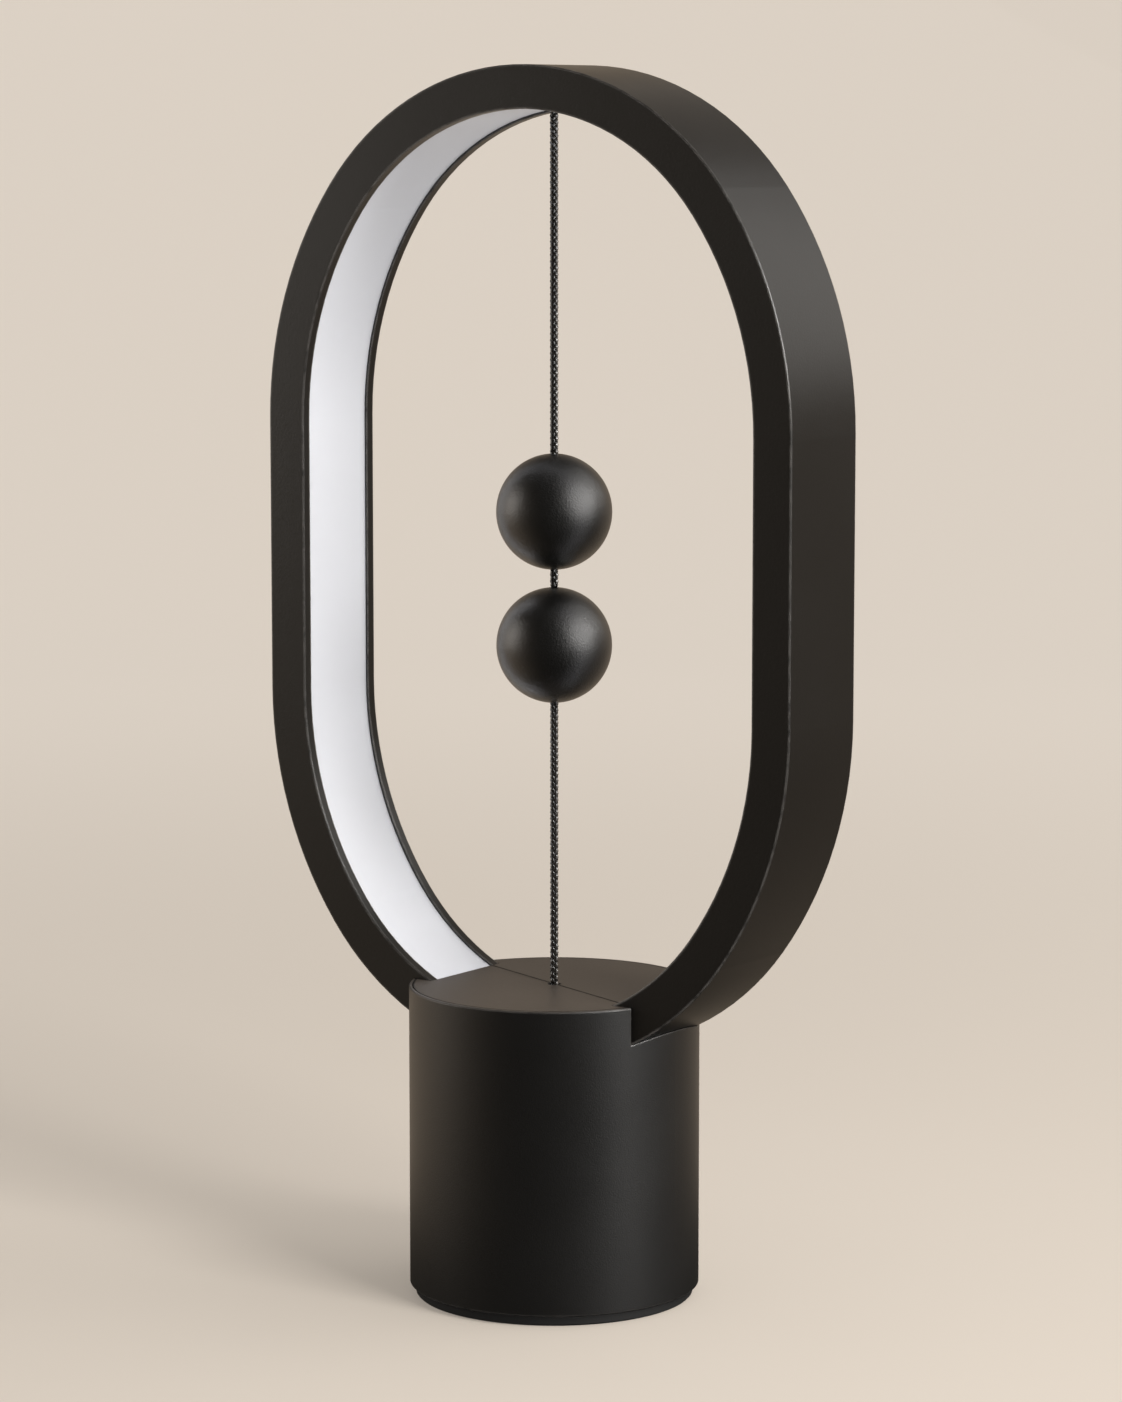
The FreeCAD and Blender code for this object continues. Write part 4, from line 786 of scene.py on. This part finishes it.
board_mask = finish_of("board_mask", (0.012, 0.10, 0.04), rough=(0.25, 0.35), height=0.000003)
tracks = add_node(board_mask.node_tree, "ShaderNodeTexBrick", {
    "Vector": own_place(board_mask.node_tree), "Scale": 160.0, "Mortar Size": 0.03,
    "Color1": BLACK, "Color2": BLACK, "Mortar": WHITE}, offset=0.37, squash=0.6)
lay_over(board_mask, COPPER_UNDER_MASK, tracks.outputs["Color"])
wear(board_mask, "driver_board")

# %% [markdown]
# ### Board pieces and light strips
#
# The pieces on the board have the usual colours of their kind. The light strips are white, with
# small chips under yellow phosphor and a clear coat, which stands for the silicone over them.

# %% Board pieces and light strips
wear(finish_of("chip_epoxy", (0.015, 0.015, 0.015), rough=(0.4, 0.55), height=0.00001),
     "driver_chip")
wear(finish_of("ferrite", (0.05, 0.05, 0.052), rough=(0.5, 0.65), height=0.00003), "power_choke")
wear(finish_of("capacitor_sleeve", (0.03, 0.05, 0.12), rough=(0.25, 0.35)), "filter_capacitor")
wear(finish_of("terminal_plastic", (0.03, 0.22, 0.08), rough=(0.3, 0.42)), "terminal_blocks")
wear(finish_of("strip_white", (0.78, 0.78, 0.76), rough=(0.4, 0.5), drift=0.03),
     "led_strip_left", "led_strip_right")
wear(finish_of("led_phosphor", (0.80, 0.62, 0.16), rough=(0.25, 0.35), drift=0.05,
               Coat_Weight=0.4), "led_chips_left", "led_chips_right")

# %% [markdown]
# ## Return spring
#
# The spring stretches when the cord pulls the plunger up. In the lower pose it is shorter. The
# model's own spring is solid and can't change its length, so a copy of it with a mesh of its own
# takes its place on the stand.

spring_coil = put_in_scene("spring_coil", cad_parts["return_spring"].data.copy())
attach(spring_coil, "stand")
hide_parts("return_spring")
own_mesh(spring_coil)

# %% [markdown]
# ## Studio
#
# The lamp stands on a seamless warm beige sweep. In a studio it is one sheet of paper, curved up
# behind the lamp. This one curves up on all sides, so that every view has a quiet background, and
# it is turned from one outline as on a lathe. It lies a hair under the lamp's foot, because two
# faces in the same place flicker.

# %% Sweep
FLOOR_RADIUS = 1.7
CURVE_RADIUS = 1.0
CURVE_STEPS = 16
WALL_TOP = 4.0
SWEEP_SIDES = 128
FLOOR_DROP = 0.00005

outline = [(FLOOR_RADIUS * 0.5, 0.0), (FLOOR_RADIUS, 0.0)]
for step in range(1, CURVE_STEPS + 1):
    turn = math.pi / 2 * step / CURVE_STEPS
    outline.append((FLOOR_RADIUS + CURVE_RADIUS * math.sin(turn),
                    CURVE_RADIUS * (1 - math.cos(turn))))
outline.append((FLOOR_RADIUS + CURVE_RADIUS, WALL_TOP))
corners = [(0.0, 0.0, 0.0)]
for radius, height in outline:
    for step in range(SWEEP_SIDES):
        turn = 2 * math.pi * step / SWEEP_SIDES
        corners.append((radius * math.cos(turn), radius * math.sin(turn), height))
faces = [(0, 1 + step, 1 + (step + 1) % SWEEP_SIDES) for step in range(SWEEP_SIDES)]
for ring in range(len(outline) - 1):
    low = 1 + ring * SWEEP_SIDES
    for step in range(SWEEP_SIDES):
        after = (step + 1) % SWEEP_SIDES
        faces.append((low + step, low + SWEEP_SIDES + step,
                      low + SWEEP_SIDES + after, low + after))
sweep_mesh = bpy.data.meshes.new("studio_sweep")
sweep_mesh.from_pydata(corners, [], faces)
sweep_mesh.shade_smooth()
sweep = put_in_scene("studio_sweep", sweep_mesh)
sweep.location.z = -FLOOR_DROP
print(f"studio_sweep: {2 * FLOOR_RADIUS:.1f} m floor, {len(faces)} faces")

# %% [markdown]
# ### Paper that looks different to each kind of ray
#
# A light path node tells the rays apart, so one paper can do three jobs. The camera sees beige
# paper: an even glow of its own, a little darker near the lamp, plus a part that is lit by the
# lamps and holds the soft shadow. Shiny surfaces see a dark room whose far end is lit, which keeps
# black lacquer black and gives its edges a warm rim. Matt surfaces see an even glow, which keeps
# the opal strip bright all round. With plain paper the same look would take many more lamps and
# screens.
#
# The room's tone depends only on the direction from the lamp's middle: it is brightest towards one
# bearing and stays dark overhead and underfoot.

# %% Room that shiny surfaces see
LAMP_MIDDLE = (0, 0, 0.2)
BRIGHT_BEARING = -160
ROOM_NEAR = (0.020, 0.018, 0.015)
ROOM_FAR = (0.48, 0.385, 0.29)
BRIGHT_START, BRIGHT_FULL = -0.6, 1.0    # how far a direction points to the lit end
LIT_TOP, DARK_TOP = 0.15, 0.75           # how steeply it points up
DARK_FOOT, LIT_FOOT = -0.95, -0.6        # how steeply it points down
DARK_SHARE = 0.05


def direction_at(bearing):
    """A level direction; its bearing is measured from the camera's side, to the right."""
    turn = math.radians(bearing)
    return -to_lamp * math.cos(turn) + to_right * math.sin(turn)


paper = bpy.data.materials.new("sweep_paper")
paper.use_nodes = True
tree = paper.node_tree
tree.nodes.remove(tree.nodes["Principled BSDF"])
place = own_place(tree)
heading = reckon_places(tree, "NORMALIZE", reckon_places(tree, "SUBTRACT", place, LAMP_MIDDLE))
towards = reckon_places(tree, "DOT_PRODUCT", heading, direction_at(BRIGHT_BEARING))
bright = stretch(tree, towards, BRIGHT_START, BRIGHT_FULL, smooth=True)
slope = add_node(tree, "ShaderNodeSeparateXYZ", {"Vector": heading}).outputs["Z"]
not_high = stretch(tree, slope, LIT_TOP, DARK_TOP, 1.0, DARK_SHARE, smooth=True)
not_deep = stretch(tree, slope, DARK_FOOT, LIT_FOOT, DARK_SHARE, 1.0, smooth=True)
level = reckon(tree, "MULTIPLY", not_high, not_deep)
room = mix_tones(tree, ROOM_NEAR, ROOM_FAR, reckon(tree, "MULTIPLY", bright, level))
print(f"room: lit end at a bearing of {BRIGHT_BEARING} degrees")

# %% [markdown]
# ### The paper's tones put together
#
# Each mix picks one tone or the other by the kind of ray. The last two shaders are added: the glow
# shows its tone whatever the light, and the matt one shows the lamps' light and the shadow.

# %% Sweep paper
ROOM_GLOW = (0.78, 0.76, 0.74)
PAPER_FLOOR = (0.203, 0.182, 0.157)
PAPER_WALL = (0.388, 0.353, 0.312)
PAPER_LIT = (0.444, 0.399, 0.351)
FLOOR_TONE_ENDS, WALL_TONE_STARTS = 0.3, 1.7    # distances from the lamp

rays = add_node(tree, "ShaderNodeLightPath").outputs
away = reckon_places(tree, "LENGTH", place)
pale = mix_tones(tree, PAPER_FLOOR, PAPER_WALL,
                 stretch(tree, away, FLOOR_TONE_ENDS, WALL_TONE_STARTS, smooth=True))
inside = mix_tones(tree, room, ROOM_GLOW, rays["Is Diffuse Ray"])
shown = mix_tones(tree, inside, pale, rays["Is Camera Ray"])
lit = mix_tones(tree, (0, 0, 0), PAPER_LIT, rays["Is Camera Ray"])
glow = add_node(tree, "ShaderNodeEmission", {"Color": shown})
matt = add_node(tree, "ShaderNodeBsdfDiffuse", {"Color": lit})
both = add_node(tree, "ShaderNodeAddShader", {0: glow.outputs["Emission"], 1: matt.outputs["BSDF"]})
tree.links.new(both.outputs["Shader"], tree.nodes["Material Output"].inputs["Surface"])
sweep_mesh.materials.append(paper)
print("sweep_paper: on studio_sweep")

# %% [markdown]
# ## Light
#
# A softbox is a rectangle that glows. Blender lets a lamp be left out of the gloss or out of the
# matt light, so the shapes that mirror in the black lacquer can be placed on their own, apart from
# the light that casts the shadow.

# %% Softbox helper
WARM_WHITE = (1.0, 0.98, 0.95)
WARMER_WHITE = (1.0, 0.97, 0.93)


def softbox(name, bearing, rise, distance, size, power, tone, aim=LAMP_MIDDLE):
    """A softbox, placed by its bearing, its height in degrees and its distance from its aim."""
    data = bpy.data.lights.new(name, "AREA")
    data.shape = "RECTANGLE"
    data.size, data.size_y = size
    data.energy = power
    data.color = tone
    lamp = put_in_scene(name, data)
    aim, rise = Vector(aim), math.radians(rise)
    out = direction_at(bearing) * math.cos(rise) + UP * math.sin(rise)
    lamp.location = aim + out * distance
    lamp.rotation_euler = (aim - lamp.location).to_track_quat("-Z", "Y").to_euler()
    print(f"{name}: bearing {bearing}, {power} W")
    return lamp


# %% [markdown]
# ### Lamps that only mirror
#
# The key stands on the right and gives the balls their grainy highlight. It casts no shadow,
# because the ring's right leg stands between it and the balls and would hide it. A weaker box on
# the left draws a soft band on the base, and the rim box behind the lamp on the right brightens the
# ring's outer face. A small one near the right shoulder and a faint one behind the crown do the
# same there, and a low one lights the foot of the base.

# %% Lamps for the gloss
key = softbox("key_softbox", 62, 25, 1.2, (0.45, 0.6), 17.5, WARM_WHITE)
key.data.use_shadow = False
left = softbox("left_softbox", -95, 13, 1.2, (0.6, 0.7), 1.7, WARMER_WHITE)
rim = softbox("rim_softbox", 112, 36, 1.2, (0.6, 1.3), 1.1, WARM_WHITE)
shoulder = softbox("shoulder_softbox", 124, 27, 0.42, (0.18, 0.36), 0.08, (1.0, 0.97, 0.94),
                   aim=(0.088, -0.02, 0.335))
crown = softbox("crown_softbox", 158, 34, 1.2, (0.5, 0.5), 0.09, WARMER_WHITE)
low = softbox("low_softbox", 54, -1, 1.0, (0.3, 0.3), 0.4, WARM_WHITE, aim=(0, 0, 0.06))
for lamp in (key, left, rim, shoulder, crown, low):
    lamp.visible_diffuse = False

# %% [markdown]
# ### Lamps that only light
#
# The window light gives the soft shadow on the floor, and the broad fill keeps it from going black.
# Neither shows in the gloss, where it would add highlights that a black lamp doesn't need.

# %% Lamps for matt surfaces
window = softbox("window_light", 42, 39, 1.6, (0.6, 0.6), 20.0, WARM_WHITE)
fill = softbox("fill_light", 88, 43, 1.5, (1.6, 1.4), 10.0, (1.0, 0.98, 0.96))
for lamp in (window, fill):
    lamp.visible_glossy = False

# %% [markdown]
# ### Air
#
# The sweep hides most of the world, so the world only adds a trace of warm light from above.

# %% World
AIR_TONE = (0.9, 0.86, 0.8, 1)
AIR_STRENGTH = 0.05

world = bpy.data.worlds.new("studio_air")
world.use_nodes = True
world.node_tree.nodes["Background"].inputs["Color"].default_value = AIR_TONE
world.node_tree.nodes["Background"].inputs["Strength"].default_value = AIR_STRENGTH
bpy.context.scene.world = world
bpy.context.scene.view_settings.view_transform = "Standard"
print("world strength:", AIR_STRENGTH)
